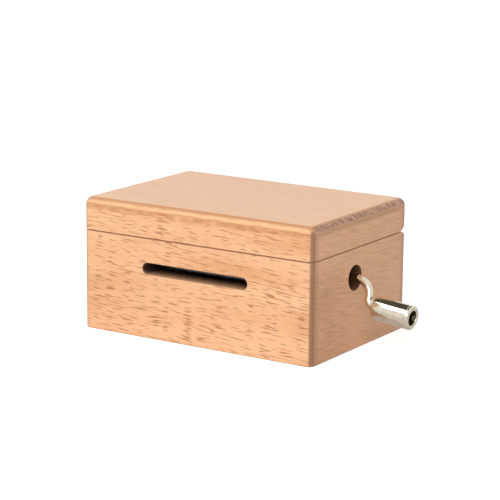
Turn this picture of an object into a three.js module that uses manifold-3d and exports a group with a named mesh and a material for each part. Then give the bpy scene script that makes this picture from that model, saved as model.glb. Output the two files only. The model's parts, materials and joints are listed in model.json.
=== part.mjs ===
import * as THREE from 'three';
import { mergeVertices } from 'three/addons/utils/BufferGeometryUtils.js';
import Module from 'manifold-3d';

// Hand crank music box: a hinged beech case round a movement that plays punched paper strips.
// Millimetres. X runs towards the crank, Y to the back and Z up. The origin is the middle of the underside.

const wasm = await Module();
wasm.setup();

// Wooden case
const boxWidth = 95;
const boxDepth = 65;
const boxHeight = 48;
const lidHeight = 12;
const wall = 8;
const floorThickness = 8;
const lidCeiling = 6;
const cornerRadius = 2.4;
const lidEdgeRadius = 3;
const lidTopCornerRadius = 0.8;
const baseEase = 0.5;
const seamEase = 0.25;
const cavityCornerRadius = 3;
const lidBackChamfer = 3.2;
const bodyBackRound = 2.2;

// Strip slots and crank hole in the case
const slotSideRoom = 1.25;
const slotOpening = 5;
const slotRise = 0.5;
const crankHoleRadius = 4.4;
const crankRise = 0.1;

// Butt hinges
const hingeSetback = 19.5;
const hingeLength = 16;
const hingeInset = 1.3;
const knuckleRadius = 1.2;
const lidKnuckleLength = 5.6;
const knuckleGap = 0.2;
const hingePinRadius = 0.6;
const hingeRunningClearance = 0.1;
const leafThickness = 0.8;
const leafDepth = 5.9;
const leafSpacing = 0.2;
const leafClearance = 0.3;
const knuckleClearance = 0.25;
const hingeScrewSpacing = 10;
const hingeScrewSetback = 3.3;

// Screws: head and shank radii, head height and length under the head
const hingeScrew = { head: 1.15, shank: 0.6, headHeight: 0.55, length: 3.9 };
const mountingScrew = { head: 2.6, shank: 1.25, headHeight: 1.8, length: 8.3 };
const combScrew = { head: 2.2, shank: 1.25, headHeight: 1.2, length: 3.1 };
const springScrew = { head: 1.5, shank: 0.8, headHeight: 0.9, length: 2.7 };
const bridgeScrew = { head: 1.8, shank: 0.9, headHeight: 1, length: 4.5 };
const screwClearance = 0.15;
const screwPointLength = 0.5;
const counterboreDepth = 3.2;

// Paper strip
const stripMargin = 5.5;
const stripThickness = 0.3;
const notePitch = 2;

// Cast frame
const gearSideRoom = 7;
const stripSideRoom = 2;
const cheekThickness = 2;
const legWidth = 8;
const castRound = 1;
const archMargin = 0.2;
const deckThickness = 2;
const deckDrop = 0.15;
const throatHeight = 0.9;
const railWidth = 1.5;
const frameForward = 16;
const frontBarDepth = 3.2;
const frontBarHeight = 2.5;
const leadIn = 0.8;
const topBarDepth = 3;
const topBarThickness = 2.6;
const topBarRise = 1.1;
const crestMargin = 0.5;
const crestReach = 5.5;
const cheekSlopeRun = 7;
const hornRise = 2.15;
const combBridgeDepth = 7.5;
const lugRadius = 3.4;
const lugHeight = 4;
const lugReach = 3.5;
const lugSetback = 6.5;

// Star wheels and their guide
const starTipRadius = 4.2;
const starValleyRadius = 2.1;
const starThickness = 0.8;
const starHubRadius = 1.5;
const starHubLength = 0.9;
const starShaftRadius = 0.75;
const starPaperClearance = 0.08;
const starBehindCrank = 2.5;
const guideThickness = 0.7;
const guideSlotWidth = 1.3;
const guideFrontMargin = 3;
const guideRearMargin = 2;
const earThickness = 0.8;
const earHalfWidth = 2.2;
const earRise = 2.3;

// Comb
const combThickness = 1.4;
const combMargin = 1;
const trebleToothShare = 0.63;
const toothRootWidth = 1.65;
const toothTipWidth = 0.9;
const toothRootThickness = 0.8;
const toothTipThickness = 0.55;
const toothSeat = 0.6;
const pluckClearance = 0.15;
const combHeel = 6.65;
const combScrewShare = 0.5625;
const combScrewSetback = 3.5;
const weightedNotesShare = 0.4;
const weightLengthShare = 0.3;
const weightPlaceShare = 0.18;
const bassWeightDepth = 1.5;
const lastWeightDepth = 0.5;

// How the depth that the movement leaves free is shared out: room in front, bass teeth and room behind
const frontRoomShare = 3 / 13;
const bassToothShare = 9 / 13;
const rearRoomShare = 1 / 13;

// Feed rollers
const tyreRadius = 4.2;
const tyreWidth = 4.4;
const tyreSetback = 4.6;
const hubFlange = 0.2;
const feedHubRadius = 2.8;
const feedShaftRadius = 1.5;
const tyreFit = 0.1;
const pinchRadius = 2.8;
const pinchShaftRadius = 1;
const windowMargin = 0.5;
const windowRoom = 0.9;

// Flat springs
const brakeSpringThickness = 0.3;
const brakeFingerWidth = 1;
const brakeFingerDrop = 0.5;
const pinchSpringThickness = 0.4;
const pinchArmWidth = 1;
const pinchArmGap = 0.6;
const pinchArmStandoff = 0.6;
const pinchToeReach = 1.3;
const springScrewSetback = 4;

// Gears, shafts and their bridge
const gearModule = 0.5;
const pinionTeeth = 12;
const gearTeeth = 24;
const gearBacklash = 0.1;
const addendum = 0.45;
const dedendum = 0.6;
const gearWidth = 3;
const pinionWidth = 3.5;
const gearHubRadius = 2.6;
const gearSpace = 6.5;
const bridgeThickness = 1.5;
const bridgeArmRadius = 2.6;
const bridgeBossRadius = 4;
const pillarRadius = 1.8;
const upperPillarForward = 13.6;
const upperPillarRise = 2.6;
const lowerPillarBack = 1.5;
const lowerPillarDrop = 8.6;

// Crank
const crankCoreRadius = 1.5;
const crankTailRadius = 1.4;
const crankCollarRadius = 2;
const crankCollarLength = 0.7;
const crankBossRadius = 2.4;
const crankBossStandoff = 2.5;
const socketDepth = 5.5;
const wireRadius = 1.4;
const crankStandoff = 2.5;
const innerBendRadius = 4.2;
const outerBendRadius = 2.6;
const crankArmStraight = 2.2;
const crankRestAngle = THREE.MathUtils.degToRad(-18);
const handleDroop = THREE.MathUtils.degToRad(6);

// Turned handle and the rivet that keeps it on
const handleRadius = 4.2;
const handleLength = 15.2;
const handleBoreRadius = 1.75;
const handleGap = 0.8;
const handleChamfer = 0.6;
const handleGrooveSetback = 1.2;
const handleGrooveDepth = 0.15;
const handleRecessRadius = 2.6;
const handleRecessDepth = 4.2;
const rivetRadius = 2.1;
const rivetRim = 0.9;
const rivetDome = 0.8;

// Clearances and the overrun of every cut
const seatGap = 0.3;
const runningClearance = 0.1;
const overrun = 1;

// Facets
const cornerSteps = 5;
const filletSteps = 3;
const roundSides = 16;
const smallSides = 10;
const handleSides = 24;
const bendSteps = 6;

// Places that follow from the sizes above
const seamHeight = boxHeight - lidHeight;
const hingeAxisDepth = boxDepth / 2 - hingeInset;
const cavityWidth = boxWidth - 2 * wall;
const cavityDepth = boxDepth - 2 * wall;

// The movement fills the cavity's width beside the crank's bearing, so its strip is 41 wide in this case
const bridgeOuter = cavityWidth / 2 - gearSideRoom;
const bridgeInner = bridgeOuter - bridgeThickness;
const cheekOuter = bridgeInner - gearSpace;
const cheekInner = cheekOuter - cheekThickness;
const cheekMiddle = cheekInner + cheekThickness / 2;
const stripWidth = 2 * (cheekInner - stripSideRoom);
const noteCount = Math.round((stripWidth - 2 * stripMargin) / notePitch);
const combWidth = noteCount * notePitch + 2 * combMargin;
const slotLength = stripWidth + 2 * slotSideRoom;

// Its crank stands in the middle of the height between the floor and the lid's ceiling
const slotHeight = (floorThickness + boxHeight - lidCeiling) / 2 + slotRise;
const crankHeight = slotHeight + crankRise;
const stripTop = slotHeight + stripThickness / 2;
const stripUnder = slotHeight - stripThickness / 2;
const deckTop = stripUnder - deckDrop;
const railTop = deckTop + throatHeight;
const guideTop = railTop + guideThickness;
const quarterTurn = Math.PI / 2;

// Its length takes up the cavity's depth
const combReach = starBehindCrank + starTipRadius + pluckClearance;
const freeDepth = cavityDepth - frameForward - combReach - combHeel;
const crankDepthPlace = frameForward + freeDepth * frontRoomShare - cavityDepth / 2;
const bassToothLength = freeDepth * bassToothShare;
const combRear = cavityDepth / 2 - freeDepth * rearRoomShare;
const frameFront = crankDepthPlace - frameForward;
const starDepth = crankDepthPlace + starBehindCrank;
const starHeight = stripTop + starPaperClearance + starTipRadius * Math.cos(quarterTurn / 2);
const feedHeight = stripUnder - tyreRadius;
const pinchHeight = stripTop + pinchRadius;
const gearCentres = gearModule * (pinionTeeth + gearTeeth) / 2;
const feedDepth = crankDepthPlace - Math.sqrt(gearCentres ** 2 - (crankHeight - feedHeight) ** 2);
const gearLine = Math.atan2(feedHeight - crankHeight, feedDepth - crankDepthPlace);
const combTipDepth = crankDepthPlace + combReach;
const combSeat = starHeight - combThickness / 2;
const combBridgeFront = combRear - combBridgeDepth;
const topBarTop = starHeight + starTipRadius + topBarRise;
const topBarRear = starDepth - starTipRadius - seatGap;
const topBarFront = topBarRear - topBarDepth;
const springScrewDepth = topBarRear - topBarDepth / 2;
const lugFront = frameFront + lugSetback;
const lugRear = combRear - lugSetback;
const lugCentre = cheekOuter + lugReach;
const upperPillar = new THREE.Vector2(crankDepthPlace - upperPillarForward, crankHeight + upperPillarRise);
const lowerPillar = new THREE.Vector2(crankDepthPlace + lowerPillarBack, crankHeight - lowerPillarDrop);
const crankAxis = new THREE.Vector2(crankDepthPlace, crankHeight);
const feedAxis = new THREE.Vector2(feedDepth, feedHeight);
const pinchAxis = new THREE.Vector2(feedDepth, pinchHeight);
const starAxis = new THREE.Vector2(starDepth, starHeight);
const archTop = lowerPillar.y - pillarRadius - archMargin;
const combScrewPlace = combWidth * combScrewShare / 2;
const springScrewPlace = cheekInner - springScrewSetback;
const tyreCentre = cheekInner - tyreSetback;
const firstNote = -notePitch * (noteCount - 1) / 2;
const earInner = notePitch * (noteCount - 1) / 2 + starThickness / 2 + starHubLength + seatGap;

// Colours and surfaces
const beech = new THREE.MeshStandardMaterial({ color: 0xe2b48c, roughness: 0.55, metalness: 0 });
const nickel = new THREE.MeshStandardMaterial({ color: 0xc9c4bb, roughness: 0.18, metalness: 1 });
const castZinc = new THREE.MeshStandardMaterial({ color: 0xa6a7a8, roughness: 0.45, metalness: 1 });
const combSteel = new THREE.MeshStandardMaterial({ color: 0xb9bbbd, roughness: 0.3, metalness: 1 });
const springSteel = new THREE.MeshStandardMaterial({ color: 0x8f9194, roughness: 0.35, metalness: 1 });
const brass = new THREE.MeshStandardMaterial({ color: 0xc8a24a, roughness: 0.3, metalness: 1 });
const rubber = new THREE.MeshStandardMaterial({ color: 0x2b2a29, roughness: 0.9, metalness: 0 });
const acetal = new THREE.MeshStandardMaterial({ color: 0xeeebe2, roughness: 0.4, metalness: 0 });

// Signed volume of an indexed triangle list, negative when its faces point in.
function signedVolume(positions, triangles) {
  const corner = (index) => new THREE.Vector3().fromArray(positions, 3 * index);
  let sum = 0;
  for (let start = 0; start < triangles.length; start += 3) {
    const [a, b, c] = [corner(triangles[start]), corner(triangles[start + 1]), corner(triangles[start + 2])];
    sum += a.dot(b.cross(c)) / 6;
  }
  return sum;
}

// A closed geometry as a solid that can be cut and joined, its faces turned outwards.
function solidFrom(geometry) {
  const bare = new THREE.BufferGeometry();
  bare.setAttribute('position', geometry.getAttribute('position'));
  bare.setIndex(geometry.getIndex());
  const merged = mergeVertices(bare);
  const positions = Float32Array.from(merged.getAttribute('position').array);
  const index = merged.getIndex().array;
  const triangles = [];
  for (let start = 0; start < index.length; start += 3) {
    const [a, b, c] = [index[start], index[start + 1], index[start + 2]];
    if (a !== b && b !== c && c !== a) triangles.push(a, b, c);
  }
  if (signedVolume(positions, triangles) < 0) triangles.reverse();
  const triVerts = Uint32Array.from(triangles);
  return new wasm.Manifold(new wasm.Mesh({ numProp: 3, vertProperties: positions, triVerts }));
}

// A solid back as the geometry of a mesh.
function geometryFrom(solid) {
  const mesh = solid.getMesh();
  const geometry = new THREE.BufferGeometry();
  geometry.setAttribute('position', new THREE.BufferAttribute(mesh.vertProperties, 3));
  geometry.setIndex(new THREE.BufferAttribute(mesh.triVerts, 1));
  const flat = geometry.toNonIndexed();
  flat.computeVertexNormals();
  return flat;
}

// A named mesh of a solid in its material.
function piece(name, solid, material) {
  const mesh = new THREE.Mesh(geometryFrom(solid), material);
  mesh.name = name;
  return mesh;
}

function joined(solids) {
  return solids.reduce((whole, next) => whole.add(next));
}

function cutBy(solid, cutters) {
  return cutters.reduce((rest, cutter) => rest.subtract(cutter), solid);
}

// Points on an arc, both ends included.
function arcPoints(centre, radius, start, end, steps) {
  const points = [];
  for (let step = 0; step <= steps; step += 1) {
    const angle = start + (end - start) * step / steps;
    const along = new THREE.Vector2(Math.cos(angle), Math.sin(angle)).multiplyScalar(radius);
    points.push(along.add(centre));
  }
  return points;
}

function circleOutline(centre, radius, sides) {
  return arcPoints(centre, radius, 0, 2 * Math.PI, sides).slice(1);
}

// A rectangle round the origin with round corners.
function roundedOutline(width, depth, radius, steps) {
  const signs = [[1, 1], [-1, 1], [-1, -1], [1, -1]];
  return signs.flatMap(([signX, signY], turn) => {
    const centre = new THREE.Vector2(signX * (width / 2 - radius), signY * (depth / 2 - radius));
    return arcPoints(centre, radius, turn * quarterTurn, (turn + 1) * quarterTurn, steps);
  });
}

// A bar with round ends from one centre to another.
function linkOutline(from, to, radius, steps) {
  const angle = to.clone().sub(from).angle();
  const far = arcPoints(to, radius, angle - quarterTurn, angle + quarterTurn, steps);
  const near = arcPoints(from, radius, angle + quarterTurn, angle + 3 * quarterTurn, steps);
  return far.concat(near);
}

// A closed outline through corners given as [across, up, radius], each corner rounded by its radius.
function softOutline(corners, steps) {
  const places = corners.map(([across, up]) => new THREE.Vector2(across, up));
  return corners.flatMap(([, , radius], index) => {
    const place = places[index];
    if (!radius) return [place];
    const back = places.at(index - 1).clone().sub(place).normalize();
    const ahead = places[(index + 1) % places.length].clone().sub(place).normalize();
    const half = Math.acos(back.dot(ahead)) / 2;
    const middle = back.clone().add(ahead).normalize().multiplyScalar(radius / Math.sin(half));
    const centre = place.clone().add(middle);
    const begin = place.clone().addScaledVector(back, radius / Math.tan(half)).sub(centre);
    const turn = (Math.PI - 2 * half) * Math.sign(ahead.cross(back));
    const points = [];
    for (let step = 0; step <= steps; step += 1) {
      points.push(begin.clone().rotateAround(new THREE.Vector2(), turn * step / steps).add(centre));
    }
    return points;
  });
}

// The outline of a strip of even thickness bent along a line of places.
function stripOutline(places, thickness) {
  const normals = places.map((place, index) => {
    const before = places[Math.max(index - 1, 0)];
    const after = places[Math.min(index + 1, places.length - 1)];
    const into = place.equals(before) ? after.clone().sub(place) : place.clone().sub(before);
    const out = place.equals(after) ? into.clone() : after.clone().sub(place);
    const mitre = into.normalize().clone().add(out.normalize()).normalize();
    const stretch = 1 / mitre.dot(into);
    return new THREE.Vector2(-mitre.y, mitre.x).multiplyScalar(stretch * thickness / 2);
  });
  const left = places.map((place, index) => place.clone().add(normals[index]));
  const right = places.map((place, index) => place.clone().sub(normals[index]));
  return left.concat(right.reverse());
}

function extruded(outline, length) {
  return new THREE.ExtrudeGeometry(new THREE.Shape(outline), { depth: length, bevelEnabled: false });
}

// Prisms of an outline: drawn in X and Y, in Y and Z, or in X and Z, between two places on the third axis.
function prismZ(outline, low, high) {
  return solidFrom(extruded(outline, high - low).translate(0, 0, low));
}

function prismX(outline, low, high) {
  const turn = new THREE.Matrix4().makeBasis(
    new THREE.Vector3(0, 1, 0),
    new THREE.Vector3(0, 0, 1),
    new THREE.Vector3(1, 0, 0),
  );
  return solidFrom(extruded(outline, high - low).applyMatrix4(turn).translate(low, 0, 0));
}

function prismY(outline, low, high) {
  return solidFrom(extruded(outline, high - low).rotateX(quarterTurn).translate(0, high, 0));
}

// A block between two corners.
function block(low, high) {
  const size = high.map((value, axis) => value - low[axis]);
  const centre = high.map((value, axis) => (value + low[axis]) / 2);
  return solidFrom(new THREE.BoxGeometry(...size).translate(...centre));
}

function cylinderX(axis, radius, low, high, sides) {
  return prismX(circleOutline(axis, radius, sides), low, high);
}

function cylinderZ(axis, radius, low, high, sides) {
  return prismZ(circleOutline(axis, radius, sides), low, high);
}

// A turned piece: its profile is a list of [along, radius], revolved about the X axis or the Z axis.
function turned(profile, sides) {
  return new THREE.LatheGeometry(profile.map(([along, radius]) => new THREE.Vector2(radius, along)), sides);
}

function turnedX(profile, sides) {
  return solidFrom(turned(profile, sides).rotateZ(-quarterTurn));
}

function turnedZ(profile, sides) {
  return solidFrom(turned(profile, sides).rotateX(quarterTurn));
}

// A shaft turned about X from steps of [end, radius], starting at a place on the axis.
function steppedShaft(start, steps, sides) {
  const profile = [[start, 0]];
  let place = start;
  for (const [end, radius] of steps) {
    profile.push([place, radius], [end, radius]);
    place = end;
  }
  profile.push([place, 0]);
  return turnedX(profile, sides);
}

// A block with round upright corners whose outline draws in by an inset at each level.
function loftedBlock(width, depth, levels) {
  const positions = [];
  const triangles = [];
  const rings = levels.map(({ height, inset, radius }) => {
    const outline = roundedOutline(width - 2 * inset, depth - 2 * inset, radius, cornerSteps);
    return outline.map((point) => new THREE.Vector3(point.x, point.y, height));
  });
  const count = rings[0].length;
  for (const ring of rings) positions.push(...ring.flatMap((point) => point.toArray()));
  const vertex = (ring, step) => ring * count + (step % count);
  for (let ring = 0; ring + 1 < rings.length; ring += 1) {
    for (let step = 0; step < count; step += 1) {
      triangles.push(vertex(ring, step), vertex(ring, step + 1), vertex(ring + 1, step));
      triangles.push(vertex(ring + 1, step), vertex(ring, step + 1), vertex(ring + 1, step + 1));
    }
  }
  const last = rings.length - 1;
  for (let step = 1; step + 1 < count; step += 1) {
    triangles.push(vertex(0, 0), vertex(0, step + 1), vertex(0, step));
    triangles.push(vertex(last, 0), vertex(last, step), vertex(last, step + 1));
  }
  const geometry = new THREE.BufferGeometry();
  geometry.setAttribute('position', new THREE.Float32BufferAttribute(positions, 3));
  geometry.setIndex(triangles);
  return solidFrom(geometry);
}

// A screw along Z with its head's top at the origin and its point downwards.
function screwSolid(screw, countersunk) {
  const under = countersunk ? [] : [[-screw.headHeight, screw.head]];
  const tip = -screw.headHeight - screw.length;
  const profile = [[0, 0], [0, screw.head], ...under, [-screw.headHeight, screw.shank]];
  profile.push([tip + screwPointLength, screw.shank], [tip, 0]);
  return turnedZ(profile, smallSides);
}

// The countersunk hole for a hinge screw at a place on a leaf, its point turned up or down by 1 or -1.
function countersinkSolid(place, point) {
  const rim = hingeScrew.head + screwClearance;
  const bore = hingeScrew.shank + screwClearance;
  const end = point * (hingeScrew.headHeight + hingeScrew.length + overrun);
  const mouth = -point * overrun;
  const profile = [[mouth, 0], [mouth, rim], [0, rim]];
  profile.push([point * hingeScrew.headHeight, bore], [end, bore], [end, 0]);
  return solidFrom(turned(profile, smallSides).rotateX(quarterTurn).translate(...place));
}

// Where the four mounting screws and the two hinges stand.
const mountingPlaces = [-lugCentre, lugCentre].flatMap((x) => [lugFront, lugRear].map((y) => [x, y]));
const hingePlaces = [['left', hingeSetback - boxWidth / 2], ['right', boxWidth / 2 - hingeSetback]];
const hingeScrewPlaces = [['outer', -hingeScrewSpacing / 2], ['inner', hingeScrewSpacing / 2]];
const hingeScrewDepth = hingeAxisDepth - hingeScrewSetback;

// Wood removed for a hinge's leaf and knuckles, on the side of the seam given by up, 1 or -1.
function hingeSeat(centre, up) {
  const halfLength = hingeLength / 2 + leafClearance;
  const floor = seamHeight + up * (leafSpacing / 2 + leafThickness);
  const mouth = seamHeight - up * overrun;
  const [low, high] = up > 0 ? [mouth, floor] : [floor, mouth];
  const leafFront = hingeAxisDepth - leafDepth - leafClearance;
  const pocket = block([centre - halfLength, leafFront, low], [centre + halfLength, hingeAxisDepth, high]);
  const axis = new THREE.Vector2(hingeAxisDepth, seamHeight);
  const bedRadius = knuckleRadius + knuckleClearance;
  const bed = cylinderX(axis, bedRadius, centre - halfLength, centre + halfLength, roundSides);
  const holes = hingeScrewPlaces.map(([, offset]) => {
    const place = new THREE.Vector2(centre + offset, hingeScrewDepth);
    const far = floor + up * (hingeScrew.length + overrun);
    const [start, end] = up > 0 ? [seamHeight, far] : [far, seamHeight];
    return cylinderZ(place, hingeScrew.shank + screwClearance, start, end, smallSides);
  });
  return joined([pocket, bed, ...holes]);
}

// The case without its lid: tray, strip slots, crank hole, hinge seats and screw holes.
function bodySolid() {
  const levels = [
    { height: 0, inset: baseEase, radius: cornerRadius - baseEase },
    { height: baseEase, inset: 0, radius: cornerRadius },
    { height: seamHeight - seamEase, inset: 0, radius: cornerRadius },
    { height: seamHeight, inset: seamEase, radius: cornerRadius - seamEase },
  ];
  const outer = loftedBlock(boxWidth, boxDepth, levels);
  const cavity = roundedOutline(cavityWidth, cavityDepth, cavityCornerRadius, cornerSteps);
  const halfSlot = new THREE.Vector2((slotLength - slotOpening) / 2, 0);
  const slotCentre = new THREE.Vector2(0, slotHeight);
  const slotEnds = [slotCentre.clone().sub(halfSlot), slotCentre.clone().add(halfSlot)];
  const slot = linkOutline(...slotEnds, slotOpening / 2, cornerSteps * 2);
  const reach = boxDepth / 2 + overrun;
  const holeEnds = [cavityWidth / 2 - overrun, boxWidth / 2 + overrun];
  const crankHole = cylinderX(crankAxis, crankHoleRadius, ...holeEnds, handleSides);
  return cutBy(outer, [
    prismZ(cavity, floorThickness, seamHeight + overrun),
    prismY(slot, -reach, reach),
    crankHole,
    backRound(),
    ...hingePlaces.map(([, centre]) => hingeSeat(centre, -1)),
    ...mountingPlaces.map(([x, y]) => mountingHole(new THREE.Vector2(x, y))),
  ]);
}

// The quarter round cut along the body's top back edge.
function backRound() {
  const back = boxDepth / 2;
  const centre = new THREE.Vector2(back - bodyBackRound, seamHeight - bodyBackRound);
  const round = arcPoints(centre, bodyBackRound, 0, quarterTurn, cornerSteps);
  const outline = [
    ...round,
    new THREE.Vector2(back - bodyBackRound, seamHeight + overrun),
    new THREE.Vector2(back + overrun, seamHeight + overrun),
    new THREE.Vector2(back + overrun, seamHeight - bodyBackRound),
  ];
  const reach = boxWidth / 2 + overrun;
  return prismX(outline, -reach, reach);
}

// A stepped hole through the floor: a counterbore below for the head and a clearance hole above it.
function mountingHole(place) {
  const head = cylinderZ(place, mountingScrew.head + screwClearance, -overrun, counterboreDepth, roundSides);
  const shank = mountingScrew.shank + screwClearance;
  return head.add(cylinderZ(place, shank, -overrun, floorThickness + overrun, smallSides));
}

// The lid: rounded above, hollowed below and bevelled along the hinge side.
function lidSolid() {
  const levels = [
    { height: seamHeight, inset: seamEase, radius: cornerRadius - seamEase },
    { height: seamHeight + seamEase, inset: 0, radius: cornerRadius },
  ];
  for (let step = 0; step <= cornerSteps; step += 1) {
    const angle = quarterTurn * step / cornerSteps;
    const inset = lidEdgeRadius * (1 - Math.cos(angle));
    const radius = cornerRadius + (lidTopCornerRadius - cornerRadius) * inset / lidEdgeRadius;
    levels.push({ height: boxHeight - lidEdgeRadius * (1 - Math.sin(angle)), inset, radius });
  }
  const outer = loftedBlock(boxWidth, boxDepth, levels);
  const recess = roundedOutline(cavityWidth, cavityDepth, cavityCornerRadius, cornerSteps);
  const back = boxDepth / 2;
  const chamfer = [
    new THREE.Vector2(back - lidBackChamfer - overrun, seamHeight - overrun),
    new THREE.Vector2(back + overrun, seamHeight - overrun),
    new THREE.Vector2(back + overrun, seamHeight + lidBackChamfer + overrun),
  ];
  const reach = boxWidth / 2 + overrun;
  return cutBy(outer, [
    prismZ(recess, seamHeight - overrun, boxHeight - lidCeiling),
    prismX(chamfer, -reach, reach),
    ...hingePlaces.map(([, centre]) => hingeSeat(centre, 1)),
  ]);
}

// One hinge leaf with its knuckles, round the pin's axis at the origin, lying below the seam for up -1.
function leafSolid(up) {
  const halfLength = hingeLength / 2;
  const halfKnuckle = lidKnuckleLength / 2;
  const pin = new THREE.Vector2();
  const near = up * leafSpacing / 2;
  const far = up * (leafSpacing / 2 + leafThickness);
  const [low, high] = [Math.min(near, far), Math.max(near, far)];
  const plate = block([-halfLength, -leafDepth, low], [halfLength, 0, high]);
  const middle = [[-halfKnuckle, halfKnuckle]];
  const ends = [[-halfLength, -halfKnuckle - knuckleGap], [halfKnuckle + knuckleGap, halfLength]];
  const [own, other] = up > 0 ? [middle, ends] : [ends, middle];
  const knuckles = own.map(([from, to]) => cylinderX(pin, knuckleRadius, from, to, roundSides));
  const notches = other.map(([from, to]) => {
    const room = knuckleRadius + leafClearance;
    const left = from < -halfKnuckle ? from - overrun : from - knuckleGap;
    const right = to > halfKnuckle ? to + overrun : to + knuckleGap;
    return block([left, -room, -overrun - leafThickness], [right, overrun, overrun + leafThickness]);
  });
  const bore = cylinderX(pin, hingePinRadius + hingeRunningClearance, -halfLength - overrun,
    halfLength + overrun, smallSides);
  const sinks = hingeScrewPlaces.map(([, offset]) =>
    countersinkSolid([offset, -hingeScrewSetback, near], up));
  return cutBy(joined([cutBy(plate, notches), ...knuckles]), [bore, ...sinks]);
}

// A hinge at its place on the seam: two leaves, a pin and four screws.
function hingeGroup(side, centre) {
  const hinge = new THREE.Group();
  hinge.position.set(centre, hingeAxisDepth, seamHeight);
  const pinHalf = hingeLength / 2;
  const pin = steppedShaft(-pinHalf, [[pinHalf, hingePinRadius]], smallSides);
  hinge.add(piece(`hinge_${side}_body_leaf`, leafSolid(-1), brass));
  hinge.add(piece(`hinge_${side}_lid_leaf`, leafSolid(1), brass));
  hinge.add(piece(`hinge_${side}_pin`, pin, brass));
  for (const [where, offset] of hingeScrewPlaces) {
    const lower = piece(`hinge_${side}_body_screw_${where}`, screwSolid(hingeScrew, true), brass);
    lower.position.set(offset, -hingeScrewSetback, -leafSpacing / 2);
    const upper = piece(`hinge_${side}_lid_screw_${where}`, screwSolid(hingeScrew, true), brass);
    upper.position.set(offset, -hingeScrewSetback, leafSpacing / 2);
    upper.rotation.x = Math.PI;
    hinge.add(lower, upper);
  }
  return hinge;
}

// The side view of a cheek of the frame, in Y and Z.
function cheekOutline() {
  const foot = floorThickness;
  const archRound = Math.min(3 * castRound, (archTop - foot) / 2);
  const crestFront = topBarFront - crestMargin;
  const crestRear = starDepth + crestReach;
  const horn = pinchHeight + hornRise;
  return softOutline([
    [frameFront, foot, 0],
    [frameFront + legWidth, foot, 0],
    [frameFront + legWidth, archTop, archRound],
    [combRear - legWidth, archTop, archRound],
    [combRear - legWidth, foot, 0],
    [combRear, foot, 0],
    [combRear, combSeat, castRound / 2],
    [crestRear + cheekSlopeRun, combSeat, archRound],
    [crestRear, topBarTop, castRound],
    [crestFront, topBarTop, castRound],
    [crestFront, horn, 0],
    [frameFront, horn, castRound],
  ], filletSteps);
}

// The frame's deck with its windows for the tyres and its groove for the star wheels' teeth.
function deckSolid() {
  const deckUnder = deckTop - deckThickness;
  const deck = block([-cheekMiddle, frameFront, deckUnder], [cheekMiddle, combRear, deckTop]);
  const halfWindow = Math.sqrt(tyreRadius ** 2 - (deckUnder - feedHeight) ** 2) + windowRoom;
  const windows = [-tyreCentre, tyreCentre].map((centre) => {
    const half = tyreWidth / 2 + hubFlange + windowMargin;
    const low = [centre - half, feedDepth - halfWindow, deckUnder - overrun];
    return block(low, [centre + half, feedDepth + halfWindow, deckTop + overrun]);
  });
  const grooveFloor = starHeight - starTipRadius - seatGap;
  const halfGroove = Math.sqrt(starTipRadius ** 2 - (starHeight - deckTop) ** 2) + seatGap;
  const grooveEnd = earInner;
  const groove = block([-grooveEnd, starDepth - halfGroove, grooveFloor],
    [grooveEnd, starDepth + halfGroove, deckTop + overrun]);
  return cutBy(deck, [...windows, groove, leadInCut(deckTop, 1)]);
}

// The bevel that leads the strip in at the front edge, above the deck for up 1, under the bar for up -1.
function leadInCut(height, up) {
  const outline = [
    new THREE.Vector2(frameFront - overrun, height - up * (leadIn + overrun)),
    new THREE.Vector2(frameFront + leadIn + overrun, height + up * overrun),
    new THREE.Vector2(frameFront - overrun, height + up * overrun),
  ];
  return prismX(outline, -cheekInner, cheekInner);
}

// The two feet beside a cheek, on the side given by 1 or -1.
function lugSolids(side) {
  return [lugFront, lugRear].map((y) => {
    const centre = new THREE.Vector2(side * lugCentre, y);
    const root = new THREE.Vector2(side * cheekMiddle, y);
    const [near, far] = side > 0 ? [root, centre] : [centre, root];
    const halfNeck = new THREE.Vector2(0, lugRadius);
    const neck = [near.clone().sub(halfNeck), far.clone().sub(halfNeck), far.clone().add(halfNeck),
      near.clone().add(halfNeck)];
    const top = floorThickness + lugHeight;
    const lug = cylinderZ(centre, lugRadius, floorThickness, top, roundSides);
    return prismZ(neck, floorThickness, top).add(lug);
  });
}

// The one casting that carries the movement.
function frameSolid() {
  const cheeks = [[-cheekOuter, -cheekInner], [cheekInner, cheekOuter]];
  const walls = cheeks.map(([low, high]) => prismX(cheekOutline(), low, high));
  const railInner = cheekInner - railWidth;
  const rails = [[-cheekMiddle, -railInner], [railInner, cheekMiddle]].map(([low, high]) =>
    block([low, frameFront, deckTop - deckThickness / 2], [high, combRear, railTop]));
  const frontBar = block([-cheekMiddle, frameFront, railTop],
    [cheekMiddle, frameFront + frontBarDepth, railTop + frontBarHeight]);
  const topBar = block([-cheekMiddle, topBarFront, topBarTop - topBarThickness],
    [cheekMiddle, topBarRear, topBarTop]);
  const combBridge = block([-cheekMiddle, combBridgeFront, railTop], [cheekMiddle, combRear, combSeat]);
  const pillars = [upperPillar, lowerPillar].map((axis) =>
    cylinderX(axis, pillarRadius, cheekMiddle, bridgeInner, roundSides));
  const casting = joined([...walls, deckSolid(), ...rails, frontBar, topBar, combBridge, ...pillars,
    ...lugSolids(-1), ...lugSolids(1)]);
  return cutBy(casting, [...shaftCuts(), ...frameScrewHoles(), leadInCut(railTop, -1)]);
}

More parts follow.
